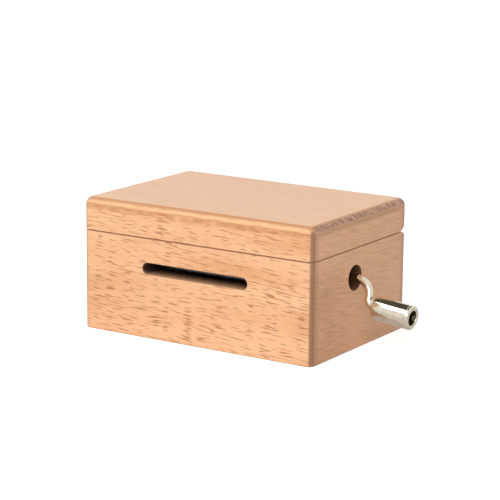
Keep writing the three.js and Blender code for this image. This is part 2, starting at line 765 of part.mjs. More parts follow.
// Bearings in the cheeks: holes for three shafts and open slots for the pinch roller's shaft.
function shaftCuts() {
  const reach = cheekOuter + overrun;
  const slotRadius = pinchShaftRadius + screwClearance;
  const slotTop = new THREE.Vector2(feedDepth, pinchHeight + hornRise + overrun);
  const slot = linkOutline(pinchAxis, slotTop, slotRadius, filletSteps * 2);
  return [
    cylinderX(feedAxis, feedShaftRadius + runningClearance, -reach, -cheekInner + overrun, roundSides),
    cylinderX(feedAxis, feedShaftRadius + runningClearance, cheekInner - overrun, reach, roundSides),
    cylinderX(starAxis, starShaftRadius + runningClearance, -reach, reach, smallSides),
    cylinderX(crankAxis, crankTailRadius + runningClearance, cheekInner - overrun, reach, roundSides),
    prismX(slot, -reach, -cheekInner + overrun),
    prismX(slot, cheekInner - overrun, reach),
  ];
}

// Screw holes in the frame's lugs, comb bridge, top bar and pillars.
function frameScrewHoles() {
  const lugs = mountingPlaces.map(([x, y]) =>
    cylinderZ(new THREE.Vector2(x, y), mountingScrew.shank + screwClearance,
      floorThickness - overrun, floorThickness + lugHeight + overrun, smallSides));
  const comb = [-combScrewPlace, combScrewPlace].map((x) =>
    cylinderZ(new THREE.Vector2(x, combRear - combScrewSetback), combScrew.shank + screwClearance,
      railTop - overrun / 2, combSeat + overrun, smallSides));
  const springs = [-springScrewPlace, springScrewPlace].map((x) =>
    cylinderZ(new THREE.Vector2(x, springScrewDepth), springScrew.shank + screwClearance,
      topBarTop - topBarThickness - overrun, topBarTop + overrun, smallSides));
  const pillarDepth = bridgeScrew.length - bridgeThickness + seatGap;
  const pillars = [upperPillar, lowerPillar].map((axis) =>
    cylinderX(axis, bridgeScrew.shank + screwClearance, bridgeInner - pillarDepth,
      bridgeInner + overrun, smallSides));
  return [...lugs, ...comb, ...springs, ...pillars];
}

// The length of a tooth of the comb: longest in the bass, shortest in the treble.
function toothLength(x) {
  const share = (x - firstNote) / (-2 * firstNote);
  return bassToothLength * (1 + (trebleToothShare - 1) * share);
}

// One tapered tooth of the comb, from inside the plate to its tip.
function toothSolid(x) {
  const root = combTipDepth + toothLength(x) + toothSeat;
  const outline = [
    new THREE.Vector2(x - toothTipWidth / 2, combTipDepth),
    new THREE.Vector2(x + toothTipWidth / 2, combTipDepth),
    new THREE.Vector2(x + toothRootWidth / 2, root),
    new THREE.Vector2(x - toothRootWidth / 2, root),
  ];
  const side = [
    new THREE.Vector2(combTipDepth, starHeight - toothTipThickness / 2),
    new THREE.Vector2(root, starHeight - toothRootThickness / 2),
    new THREE.Vector2(root, starHeight + toothRootThickness / 2),
    new THREE.Vector2(combTipDepth, starHeight + toothTipThickness / 2),
  ];
  const plan = prismZ(outline, starHeight - combThickness, starHeight + combThickness);
  return plan.intersect(prismX(side, x - toothRootWidth, x + toothRootWidth));
}

// The tuning weight under a bass tooth, at a share of the way from the deepest weight to the shallowest.
function weightSolid(x, share) {
  const depth = bassWeightDepth + (lastWeightDepth - bassWeightDepth) * share;
  const front = combTipDepth + bassToothLength * weightPlaceShare;
  return block([x - toothTipWidth / 2, front, starHeight - toothTipThickness / 2 - depth],
    [x + toothTipWidth / 2, front + bassToothLength * weightLengthShare, starHeight]);
}

// The steel comb: a plate with a slanting front edge, and fifteen tuned teeth.
function combSolid() {
  const half = combWidth / 2;
  const plateOutline = [
    new THREE.Vector2(-half, combTipDepth + toothLength(-half)),
    new THREE.Vector2(half, combTipDepth + toothLength(half)),
    new THREE.Vector2(half, combRear),
    new THREE.Vector2(-half, combRear),
  ];
  const solids = [prismZ(plateOutline, combSeat, combSeat + combThickness)];
  const lastWeighted = Math.round(noteCount * weightedNotesShare) - 1;
  for (let note = 0; note < noteCount; note += 1) {
    const x = firstNote + note * notePitch;
    solids.push(toothSolid(x));
    if (note <= lastWeighted) solids.push(weightSolid(x, note / lastWeighted));
  }
  const holes = [-combScrewPlace, combScrewPlace].map((x) =>
    cylinderZ(new THREE.Vector2(x, combRear - combScrewSetback), combScrew.shank + screwClearance,
      combSeat - overrun, combSeat + combThickness + overrun, roundSides));
  return cutBy(joined(solids), holes);
}

// One tooth pitch of a star wheel: shares of the pitch angle, and of the tooth's height above the valley.
const starToothShares = [[-0.035, 1], [0.035, 1], [0.18, 0.4], [0.5, 0], [0.82, 0.4]];
const starTeeth = 4;

// A star wheel about the X axis: four pointed teeth, and a hub that spaces it from the next wheel.
function starWheelSolid() {
  const outline = [];
  for (let tooth = 0; tooth < starTeeth; tooth += 1) {
    for (const [turnShare, heightShare] of starToothShares) {
      const radius = starValleyRadius + (starTipRadius - starValleyRadius) * heightShare;
      const angle = (tooth + turnShare) * 2 * Math.PI / starTeeth;
      outline.push(new THREE.Vector2(radius * Math.cos(angle), radius * Math.sin(angle)));
    }
  }
  const face = starThickness / 2;
  const axis = new THREE.Vector2();
  const hub = cylinderX(axis, starHubRadius, 0, face + starHubLength, smallSides);
  const bore = cylinderX(axis, starShaftRadius + runningClearance, -face - overrun,
    face + starHubLength + overrun, smallSides);
  return prismX(outline, -face, face).add(hub).subtract(bore);
}

// The plate under the star wheels that holds the strip down, with a slot for each wheel and two ears.
function guideSolid() {
  const front = starDepth - starTipRadius - guideFrontMargin + seatGap;
  const rear = starDepth + starTipRadius + guideRearMargin;
  const half = cheekInner - seatGap;
  const plate = block([-half, front, railTop], [half, rear, guideTop]);
  const halfSlot = Math.sqrt(starTipRadius ** 2 - (starHeight - guideTop) ** 2) + seatGap;
  const slots = [];
  for (let note = 0; note < noteCount; note += 1) {
    const x = firstNote + note * notePitch;
    slots.push(block([x - guideSlotWidth / 2, starDepth - halfSlot, railTop - overrun],
      [x + guideSlotWidth / 2, starDepth + halfSlot, guideTop + overrun]));
  }
  const earOuter = earInner + earThickness;
  const ears = [[-earOuter, -earInner], [earInner, earOuter]].map(([low, high]) => {
    const top = starHeight + earRise;
    const outline = softOutline([
      [starDepth - earHalfWidth, railTop, 0], [starDepth + earHalfWidth, railTop, 0],
      [starDepth + earHalfWidth, top, castRound], [starDepth - earHalfWidth, top, castRound],
    ], filletSteps);
    return prismX(outline, low, high);
  });
  const reach = earOuter + overrun;
  const shaftHole = cylinderX(starAxis, starShaftRadius + runningClearance, -reach, reach, smallSides);
  return cutBy(joined([cutBy(plate, slots), ...ears]), [shaftHole]);
}

// Holes for the two screws that hold both flat springs on the top bar.
function springHoles(low, high) {
  return [-springScrewPlace, springScrewPlace].map((x) =>
    cylinderZ(new THREE.Vector2(x, springScrewDepth), springScrew.shank + screwClearance,
      low - overrun, high + overrun, smallSides));
}

// The brake spring: a flat strip with a sprung finger over each star wheel.
function brakeSpringSolid() {
  const top = topBarTop + brakeSpringThickness;
  const half = springScrewPlace + springScrew.head;
  const plate = block([-half, topBarFront, topBarTop], [half, topBarRear, top]);
  const middle = topBarTop + brakeSpringThickness / 2;
  const bent = [
    new THREE.Vector2(springScrewDepth, middle),
    new THREE.Vector2(topBarRear, middle),
    new THREE.Vector2(starDepth, middle - brakeFingerDrop),
  ];
  const outline = stripOutline(bent, brakeSpringThickness);
  const fingers = [];
  for (let note = 0; note < noteCount; note += 1) {
    const x = firstNote + note * notePitch;
    fingers.push(prismX(outline, x - brakeFingerWidth / 2, x + brakeFingerWidth / 2));
  }
  return cutBy(joined([plate, ...fingers]), springHoles(topBarTop, top));
}

// The pinch spring: a strip on the brake spring whose two arms press the pinch roller's shaft down.
function pinchSpringSolid() {
  const low = topBarTop + brakeSpringThickness;
  const high = low + pinchSpringThickness;
  const half = cheekInner - pinchArmGap;
  const plate = block([-half, topBarFront, low], [half, topBarRear, high]);
  const middle = (low + high) / 2;
  const knee = topBarFront - pinchArmStandoff;
  const toe = pinchHeight + pinchShaftRadius + seatGap + pinchSpringThickness / 2;
  const bent = [
    new THREE.Vector2(springScrewDepth, middle),
    new THREE.Vector2(knee, middle),
    new THREE.Vector2(knee - pinchArmStandoff, toe),
    new THREE.Vector2(feedDepth - pinchToeReach, toe),
  ];
  const outline = stripOutline(bent, pinchSpringThickness);
  const arms = [[-half, pinchArmWidth - half], [half - pinchArmWidth, half]].map(([from, to]) =>
    prismX(outline, from, to));
  return cutBy(joined([plate, ...arms]), springHoles(low, high));
}

// Half the length of a roller hub, and the ends of both hubs along X.
const hubHalf = tyreWidth / 2 + hubFlange;
const [hubInner, hubOuter] = [tyreCentre - hubHalf, tyreCentre + hubHalf];

// The driven shaft under the deck with a hub for each tyre.
function feedShaftSolid() {
  return steppedShaft(-cheekOuter, [
    [-hubOuter, feedShaftRadius], [-hubInner, feedHubRadius], [hubInner, feedShaftRadius],
    [hubOuter, feedHubRadius], [bridgeOuter, feedShaftRadius],
  ], roundSides);
}

// A rubber tyre round its hub.
function tyreSolid() {
  const half = tyreWidth / 2;
  const bore = feedHubRadius + tyreFit;
  const profile = [[-half, bore], [-half, tyreRadius], [half, tyreRadius], [half, bore], [-half, bore]];
  return turnedX(profile, handleSides);
}

// The idle roller above the deck, turned in one piece with its shaft.
function pinchRollerSolid() {
  const core = (pinchShaftRadius + pinchRadius) / 2;
  return steppedShaft(-cheekOuter, [
    [-hubOuter, pinchShaftRadius], [-hubInner, pinchRadius], [hubInner, core],
    [hubOuter, pinchRadius], [cheekOuter, pinchShaftRadius],
  ], roundSides);
}

// The outline of a spur gear with involute flanks, its first tooth pointing along Y.
function gearOutline(teeth) {
  const pressureAngle = THREE.MathUtils.degToRad(20);
  const pitchRadius = gearModule * teeth / 2;
  const baseRadius = pitchRadius * Math.cos(pressureAngle);
  const rootRadius = pitchRadius - dedendum;
  const tipRadius = pitchRadius + addendum;
  const involute = (angle) => Math.tan(angle) - angle;
  const halfPitchTooth = (Math.PI * gearModule - gearBacklash) / (4 * pitchRadius);
  const halfAngle = (radius) => {
    const angle = Math.acos(Math.min(1, baseRadius / radius));
    return halfPitchTooth + involute(pressureAngle) - involute(angle);
  };
  const flank = [rootRadius, pitchRadius, tipRadius];
  const outline = [];
  for (let tooth = 0; tooth < teeth; tooth += 1) {
    const centre = tooth * 2 * Math.PI / teeth;
    const rising = flank.map((radius) => [radius, centre - halfAngle(radius)]);
    const falling = flank.map((radius) => [radius, centre + halfAngle(radius)]).reverse();
    for (const [radius, angle] of rising.concat(falling)) {
      outline.push(new THREE.Vector2(radius * Math.cos(angle), radius * Math.sin(angle)));
    }
  }
  return outline;
}

// Ends of the crank shaft's features along X.
const collarStart = cheekOuter + seatGap;
const collarEnd = collarStart + crankCollarLength;
const pinionStart = collarEnd + seatGap;
const pinionEnd = pinionStart + pinionWidth;
const bossStart = pinionEnd + seatGap;
const bossEnd = cavityWidth / 2 - crankBossStandoff;
const wireStart = bossEnd - socketDepth + seatGap;

// The gear on the feed shaft, with a long hub between the cheek and the bridge.
function feedGearSolid() {
  const axis = new THREE.Vector2();
  const middle = (pinionStart + pinionEnd) / 2;
  const blank = prismX(gearOutline(gearTeeth), middle - gearWidth / 2, middle + gearWidth / 2);
  const hub = cylinderX(axis, gearHubRadius, cheekOuter + seatGap, bridgeInner - seatGap, roundSides);
  const bore = cylinderX(axis, feedShaftRadius + runningClearance, cheekOuter, bridgeInner, roundSides);
  return blank.add(hub).subtract(bore);
}

function pinionSolid() {
  const blank = prismX(gearOutline(pinionTeeth), pinionStart, pinionEnd);
  const bore = cylinderX(new THREE.Vector2(), crankCoreRadius + runningClearance, pinionStart - overrun,
    pinionEnd + overrun, roundSides);
  return blank.subtract(bore);
}

// The crank shaft: a tail in the cheek, a collar, the pinion's seat and a boss with a socket for the wire.
function crankShaftSolid() {
  const shaft = steppedShaft(cheekInner + seatGap, [
    [collarStart, crankTailRadius], [collarEnd, crankCollarRadius], [bossStart, crankCoreRadius],
    [bossEnd, crankBossRadius],
  ], roundSides);
  const socket = cylinderX(new THREE.Vector2(), wireRadius + runningClearance, bossEnd - socketDepth,
    bossEnd + overrun, roundSides);
  return shaft.subtract(socket);
}

// The plate on two pillars that carries the outer ends of the crank shaft and the feed shaft.
function gearBridgeSolid() {
  const arms = [[upperPillar, crankAxis], [crankAxis, lowerPillar], [feedAxis, crankAxis]].map(([from, to]) =>
    prismX(linkOutline(from, to, bridgeArmRadius, cornerSteps), bridgeInner, bridgeOuter));
  const boss = cylinderX(crankAxis, bridgeBossRadius, bridgeInner, bridgeOuter, roundSides);
  const holeEnds = [bridgeInner - overrun, bridgeOuter + overrun];
  const hole = (axis, radius) => cylinderX(axis, radius, ...holeEnds, roundSides);
  return cutBy(joined([...arms, boss]), [
    hole(crankAxis, crankBossRadius + runningClearance),
    hole(feedAxis, feedShaftRadius + runningClearance),
    hole(upperPillar, bridgeScrew.shank + screwClearance),
    hole(lowerPillar, bridgeScrew.shank + screwClearance),
  ]);
}

// The crank's bends in its own plane, X along the shaft and Z opposite to the arm.
const bendStart = boxWidth / 2 + crankStandoff;
const armPlace = bendStart + innerBendRadius;
const armEnd = -innerBendRadius - crankArmStraight;
const outerBendCentre = new THREE.Vector2(armPlace + outerBendRadius, armEnd);
const legTurn = quarterTurn - handleDroop;
const legPoint = new THREE.Vector2(-outerBendRadius, 0).rotateAround(new THREE.Vector2(), legTurn)
  .add(outerBendCentre);
const rivetSeat = handleGap + handleLength - handleRecessDepth;

// The wire's centre line: straight, bent, straight, bent back and straight through the handle.
class CrankCurve extends THREE.Curve {
  constructor() {
    super();
    const innerCentre = new THREE.Vector2(bendStart, -innerBendRadius);
    const leg = new THREE.Vector2(rivetSeat, 0).rotateAround(new THREE.Vector2(), -handleDroop);
    this.stations = [
      new THREE.Vector2(wireStart, 0),
      ...arcPoints(innerCentre, innerBendRadius, quarterTurn, 0, bendSteps),
      ...arcPoints(outerBendCentre, outerBendRadius, Math.PI, Math.PI + legTurn, bendSteps),
      legPoint.clone().add(leg),
    ];
  }

  getPoint(share, target = new THREE.Vector3()) {
    const place = share * (this.stations.length - 1);
    const before = Math.min(Math.floor(place), this.stations.length - 2);
    const point = this.stations[before].clone().lerp(this.stations[before + 1], place - before);
    return target.set(point.x, 0, point.y);
  }

  getPointAt(share, target) {
    return this.getPoint(share, target);
  }

  // The direction at a station halves the angle between the stretches that meet there.
  getTangentAt(share, target = new THREE.Vector3()) {
    const last = this.stations.length - 1;
    const index = Math.round(share * last);
    const back = this.getPoint(Math.max(index - 1, 0) / last);
    const here = this.getPoint(index / last);
    const ahead = this.getPoint(Math.min(index + 1, last) / last);
    const into = here.clone().sub(back).normalize();
    const out = ahead.sub(here).normalize();
    return target.copy(into.add(out).normalize());
  }
}

function crankWireSolid() {
  const curve = new CrankCurve();
  const section = new THREE.Shape(circleOutline(new THREE.Vector2(), wireRadius, roundSides));
  const steps = curve.stations.length - 1;
  return solidFrom(new THREE.ExtrudeGeometry(section, { steps, extrudePath: curve }));
}

// The handle about its own axis, from its inner end: chamfered, grooved, bored and recessed.
function handleSolid() {
  const end = handleLength;
  const groove = end - handleGrooveSetback;
  const profile = [
    [0, handleBoreRadius],
    [0, handleRadius - handleChamfer],
    [handleChamfer, handleRadius],
    [groove - handleGrooveDepth, handleRadius],
    [groove, handleRadius - handleGrooveDepth],
    [groove + handleGrooveDepth, handleRadius],
    [end - handleChamfer, handleRadius],
    [end, handleRadius - handleChamfer],
    [end, handleRecessRadius],
    [end - handleRecessDepth, handleRecessRadius],
    [end - handleRecessDepth, handleBoreRadius],
    [0, handleBoreRadius],
  ];
  return turnedX(profile, handleSides);
}

// The rivet's domed head, on the end of the wire in the handle's recess.
function rivetSolid() {
  const start = seatGap;
  const rim = start + rivetRim;
  const dome = arcPoints(new THREE.Vector2(), 1, 0, quarterTurn, cornerSteps).map((unit) =>
    [rim + rivetDome * unit.y, rivetRadius * unit.x]);
  return turnedX([[start, 0], [start, rivetRadius], ...dome.slice(0, -1), [rim + rivetDome, 0]], roundSides);
}

// A screw placed with its head's top at a place, and turned so that it points down, up or towards the frame.
function screwPiece(name, screw, place, material, turn = null) {
  const mesh = piece(name, screwSolid(screw, false), material);
  mesh.position.set(...place);
  if (turn) mesh.rotation[turn.axis] = turn.angle;
  return mesh;
}

function caseGroup() {
  const group = new THREE.Group();
  group.add(piece('box_body', bodySolid(), beech), piece('box_lid', lidSolid(), beech));
  for (const [side, centre] of hingePlaces) group.add(hingeGroup(side, centre));
  const headTop = counterboreDepth - mountingScrew.headHeight;
  mountingPlaces.forEach(([x, y], index) => {
    const upward = { axis: 'x', angle: Math.PI };
    group.add(screwPiece(`mounting_screw_${index + 1}`, mountingScrew, [x, y, headTop], nickel, upward));
  });
  return group;
}

// The comb and both springs, with their screws, on the frame.
function frameGroup() {
  const group = new THREE.Group();
  group.add(piece('base_frame', frameSolid(), castZinc), piece('comb', combSolid(), combSteel));
  group.add(piece('guide_plate', guideSolid(), springSteel));
  group.add(piece('brake_spring', brakeSpringSolid(), springSteel));
  group.add(piece('pinch_spring', pinchSpringSolid(), springSteel));
  const combHead = combSeat + combThickness + combScrew.headHeight;
  const springHead = topBarTop + brakeSpringThickness + pinchSpringThickness + springScrew.headHeight;
  for (const [side, sign] of [['left', -1], ['right', 1]]) {
    const combPlace = [sign * combScrewPlace, combRear - combScrewSetback, combHead];
    group.add(screwPiece(`comb_screw_${side}`, combScrew, combPlace, nickel));
    const springPlace = [sign * springScrewPlace, springScrewDepth, springHead];
    group.add(screwPiece(`spring_screw_${side}`, springScrew, springPlace, nickel));
  }
  group.add(piece('gear_bridge', gearBridgeSolid(), castZinc));
  for (const [where, axis] of [['upper', upperPillar], ['lower', lowerPillar]]) {
    const place = [bridgeOuter + bridgeScrew.headHeight, axis.x, axis.y];
    const inward = { axis: 'y', angle: quarterTurn };
    group.add(screwPiece(`bridge_screw_${where}`, bridgeScrew, place, nickel, inward));
  }
  return group;
}

// The star wheels on their shaft, turned so that two teeth of each straddle the strip.
function starGroup() {
  const group = new THREE.Group();
  group.position.set(0, starDepth, starHeight);
  const shaft = steppedShaft(-cheekOuter, [[cheekOuter, starShaftRadius]], smallSides);
  group.add(piece('star_shaft', shaft, nickel));
  for (let note = 0; note < noteCount; note += 1) {
    const wheel = piece(`star_wheel_${String(note + 1).padStart(2, '0')}`, starWheelSolid(), brass);
    wheel.position.x = firstNote + note * notePitch;
    wheel.rotation.x = quarterTurn / 2;
    group.add(wheel);
  }
  return group;
}

// The driven roller below the strip and the idle roller above it.
function rollerGroups() {
  const feed = new THREE.Group();
  feed.position.set(0, feedDepth, feedHeight);
  feed.add(piece('feed_shaft', feedShaftSolid(), nickel));
  for (const [side, centre] of [['left', -tyreCentre], ['right', tyreCentre]]) {
    const tyre = piece(`feed_tyre_${side}`, tyreSolid(), rubber);
    tyre.position.x = centre;
    feed.add(tyre);
  }
  const gear = piece('feed_gear', feedGearSolid(), acetal);
  gear.rotation.x = gearLine + Math.PI + Math.PI / gearTeeth;
  feed.add(gear);
  const pinch = new THREE.Group();
  pinch.position.set(0, feedDepth, pinchHeight);
  pinch.add(piece('pinch_roller', pinchRollerSolid(), nickel));
  return [feed, pinch];
}

// The crank at rest, its arm down and a little to the front, with the handle on its drooping leg.
function crankGroup() {
  const group = new THREE.Group();
  group.position.set(0, crankDepthPlace, crankHeight);
  group.rotation.x = crankRestAngle;
  group.add(piece('crank_shaft', crankShaftSolid(), nickel));
  const pinion = piece('crank_pinion', pinionSolid(), brass);
  pinion.rotation.x = gearLine - crankRestAngle;
  group.add(pinion, piece('crank_wire', crankWireSolid(), nickel));
  const leg = new THREE.Group();
  leg.position.set(legPoint.x, 0, legPoint.y);
  leg.rotation.y = handleDroop;
  const handle = piece('crank_handle', handleSolid(), nickel);
  handle.position.x = handleGap;
  const rivet = piece('handle_rivet', rivetSolid(), nickel);
  rivet.position.x = rivetSeat;
  leg.add(handle, rivet);
  group.add(leg);
  return group;
}

const musicBox = new THREE.Group();
musicBox.add(caseGroup(), frameGroup(), starGroup(), ...rollerGroups(), crankGroup());

export default musicBox;
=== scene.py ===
"""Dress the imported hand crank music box: its beech case, its nickel crank and the movement inside.

Sizes are millimetres, as in the part's source, until a mesh is made: MM turns them into the frame's metres.
X runs towards the crank, Y to the hinged back and Z up. The origin is the middle of the case's underside.
"""

import json
import logging
from collections.abc import Sequence
from dataclasses import dataclass, field
from enum import Enum

import bmesh
import bpy
import numpy as np
from mathutils import Matrix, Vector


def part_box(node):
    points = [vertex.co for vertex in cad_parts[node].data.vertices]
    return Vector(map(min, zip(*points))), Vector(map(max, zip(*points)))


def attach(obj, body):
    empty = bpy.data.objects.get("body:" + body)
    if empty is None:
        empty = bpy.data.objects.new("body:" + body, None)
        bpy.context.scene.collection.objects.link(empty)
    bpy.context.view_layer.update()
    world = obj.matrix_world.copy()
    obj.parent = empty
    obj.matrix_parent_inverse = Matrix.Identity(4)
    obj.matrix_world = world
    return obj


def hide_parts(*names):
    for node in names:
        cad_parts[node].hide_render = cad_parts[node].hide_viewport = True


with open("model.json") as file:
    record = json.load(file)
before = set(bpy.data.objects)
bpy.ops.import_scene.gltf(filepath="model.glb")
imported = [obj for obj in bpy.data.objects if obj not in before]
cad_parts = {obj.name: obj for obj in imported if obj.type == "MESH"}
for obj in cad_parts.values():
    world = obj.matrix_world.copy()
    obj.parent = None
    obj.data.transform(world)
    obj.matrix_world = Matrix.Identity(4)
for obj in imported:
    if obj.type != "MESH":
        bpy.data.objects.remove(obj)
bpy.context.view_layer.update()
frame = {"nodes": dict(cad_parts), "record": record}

MM = 0.001
NODE_SLOTS = {part["node"]: part["material_slot"] for part in frame["record"]["subparts"]}
NODE_BODIES = {
    node: body for body, nodes in frame["record"]["behaviour"]["bodies"].items() for node in nodes
}

# Points closer than this many millimetres are one, in new meshes and in copied ones
NEW_WELD = 0.0002
COPY_WELD = 0.001
# Faces of a copied mesh that meet within this many degrees are one
FLAT_ANGLE = 1.0
# Stretches across an eased edge
EDGE_SEGMENTS = 2

# Settings that many nodes share
SMOOTH = {"interpolation_type": "SMOOTHSTEP"}
COLOURS = {"data_type": "RGBA"}

Socket = bpy.types.NodeSocket
Inputs = Sequence[object] | dict[str | int, object]
Outputs = bpy.types.bpy_prop_collection
Pair = tuple[float, float]
Size = tuple[float, float, float]
Span = tuple[float, float, float, float]

log = logging.getLogger("music box")


# Helpers for colours and material nodes

def linear(colour: str) -> tuple[float, float, float, float]:
    """Turn an sRGB hex value into linear light.

    Each channel c becomes c / 12.92 below 0.04045, and ((c + 0.055) / 1.055) to the power 2.4 above it.

    Args:
        colour: Hex value such as "#E6B48A".

    Returns:
        Red, green, blue and an alpha of one, for a node's socket.
    """
    channels = np.array([int(colour[start:start + 2], 16) for start in (1, 3, 5)]) / 255
    light = np.where(channels <= 0.04045, channels / 12.92, ((channels + 0.055) / 1.055) ** 2.4)
    return (*light.tolist(), 1.0)


def spaced(*sizes: float) -> tuple[float, ...]:
    """Millimetres as metres, such as the size of one unit of a pattern on X, Y and Z."""
    return tuple(size * MM for size in sizes)


@dataclass
class Graph:
    """The node tree of a material or a world, emptied and then built node by node."""

    owner: bpy.types.Material | bpy.types.World

    def __post_init__(self) -> None:
        """Empty the tree."""
        self.owner.use_nodes = True
        self.owner.node_tree.nodes.clear()

    def add(
        self, kind: str, inputs: Inputs = (), stops: tuple[Sequence[float], Sequence[str]] = ((), ()),
        **settings: object,
    ) -> Outputs:
        """Add one node with its settings, values and links.

        Args:
            kind: Blender's name of the node type, without the ShaderNode in front.
            inputs: A socket to link from or a value to set for each input, in order or by name or number.
            stops: For a colour ramp, its places and its hex colours.
            settings: Attributes of the node.

        Returns:
            The node's output sockets.
        """
        node = self.owner.node_tree.nodes.new(f"ShaderNode{kind}")
        for name, value in settings.items():
            setattr(node, name, value)
        for key, value in inputs.items() if isinstance(inputs, dict) else enumerate(inputs):
            if isinstance(value, Socket):
                self.owner.node_tree.links.new(value, node.inputs[key])
            else:
                node.inputs[key].default_value = value
        for index, (place, colour) in enumerate(zip(*stops)):
            elements = node.color_ramp.elements
            element = elements[index] if index < len(elements) else elements.new(place)
            element.position = place
            element.color = linear(colour)
        return node.outputs

    def noise(
        self, place: Socket, size: Size, detail: float, turn: Size = (0, 0, 0), roughness: float = 0.5,
        dimensions: str = "3D",
    ) -> Outputs:
        """Add noise that is drawn out along the axes.

        Args:
            place: Where on the piece.
            size: Millimetres that one unit of the noise takes on X, Y and Z.
            detail: How many finer noises are added to it.
            turn: Degrees by which it is turned about X, Y and Z.
            roughness: Weight of each finer noise.
            dimensions: "3D", or "2D" for noise on X and Y alone.

        Returns:
            Its output sockets: "Fac" is one level and "Color" is three.
        """
        drawn = self.add(
            "Mapping", {0: place, "Rotation": tuple(np.radians(turn)), "Scale": spaced(*size)},
            vector_type="TEXTURE",
        )
        inputs = {"Vector": drawn[0], "Scale": 1.0, "Detail": detail, "Roughness": roughness}
        return self.add("TexNoise", inputs, noise_dimensions=dimensions)

    def close(
        self, colour: Socket, height: Socket, strength: float, relief: float, **inputs: object,
    ) -> bpy.types.Material:
        """End the tree in a principled shader with bumps.

        Args:
            colour: Base colour.
            height: Height of the bumps, about 0 to 1.
            strength: Share of the bumps that is used.
            relief: Millimetres that a height of 1 stands for.
            inputs: The shader's other inputs.

        Returns:
            The finished material.
        """
        bump = self.add("Bump", {"Strength": strength, "Distance": relief * MM, "Height": height})
        shader = self.add("BsdfPrincipled", {"Base Color": colour, "Normal": bump[0], **inputs})
        self.add("OutputMaterial", [shader[0]])
        return self.owner


# Finishes

@dataclass
class Board(Graph):
    """The tree of a board's finish, with the sockets that its patterns start from.

    The place is where a point is. The bent place is where it lies among fibres that wander: the place plus
    the wander in millimetres times a slow noise less a half. Both also come as parts on X, Y and Z. Facing is
    how much the surface looks along each of the three axes.
    """

    wander_size: Size
    wander: Size

    def __post_init__(self) -> None:
        """Add the nodes that say where a point is and which way the surface faces."""
        super().__post_init__()
        coordinates = self.add("TexCoord")
        normal = self.add("SeparateXYZ", [coordinates["Normal"]])
        self.facing = [self.add("Math", [part], operation="ABSOLUTE")[0] for part in normal]
        self.place = coordinates["Object"]
        slow = self.noise(self.place, self.wander_size, 1.0)
        centred = self.add("VectorMath", [slow["Color"], (0.5, 0.5, 0.5)], operation="SUBTRACT")
        reach = self.add("VectorMath", [centred[0], spaced(*self.wander)], operation="MULTIPLY")
        self.bent = self.add("VectorMath", [self.place, reach[0]], operation="ADD")[0]
        self.parts = self.add("SeparateXYZ", [self.place])
        self.bent_parts = self.add("SeparateXYZ", [self.bent])


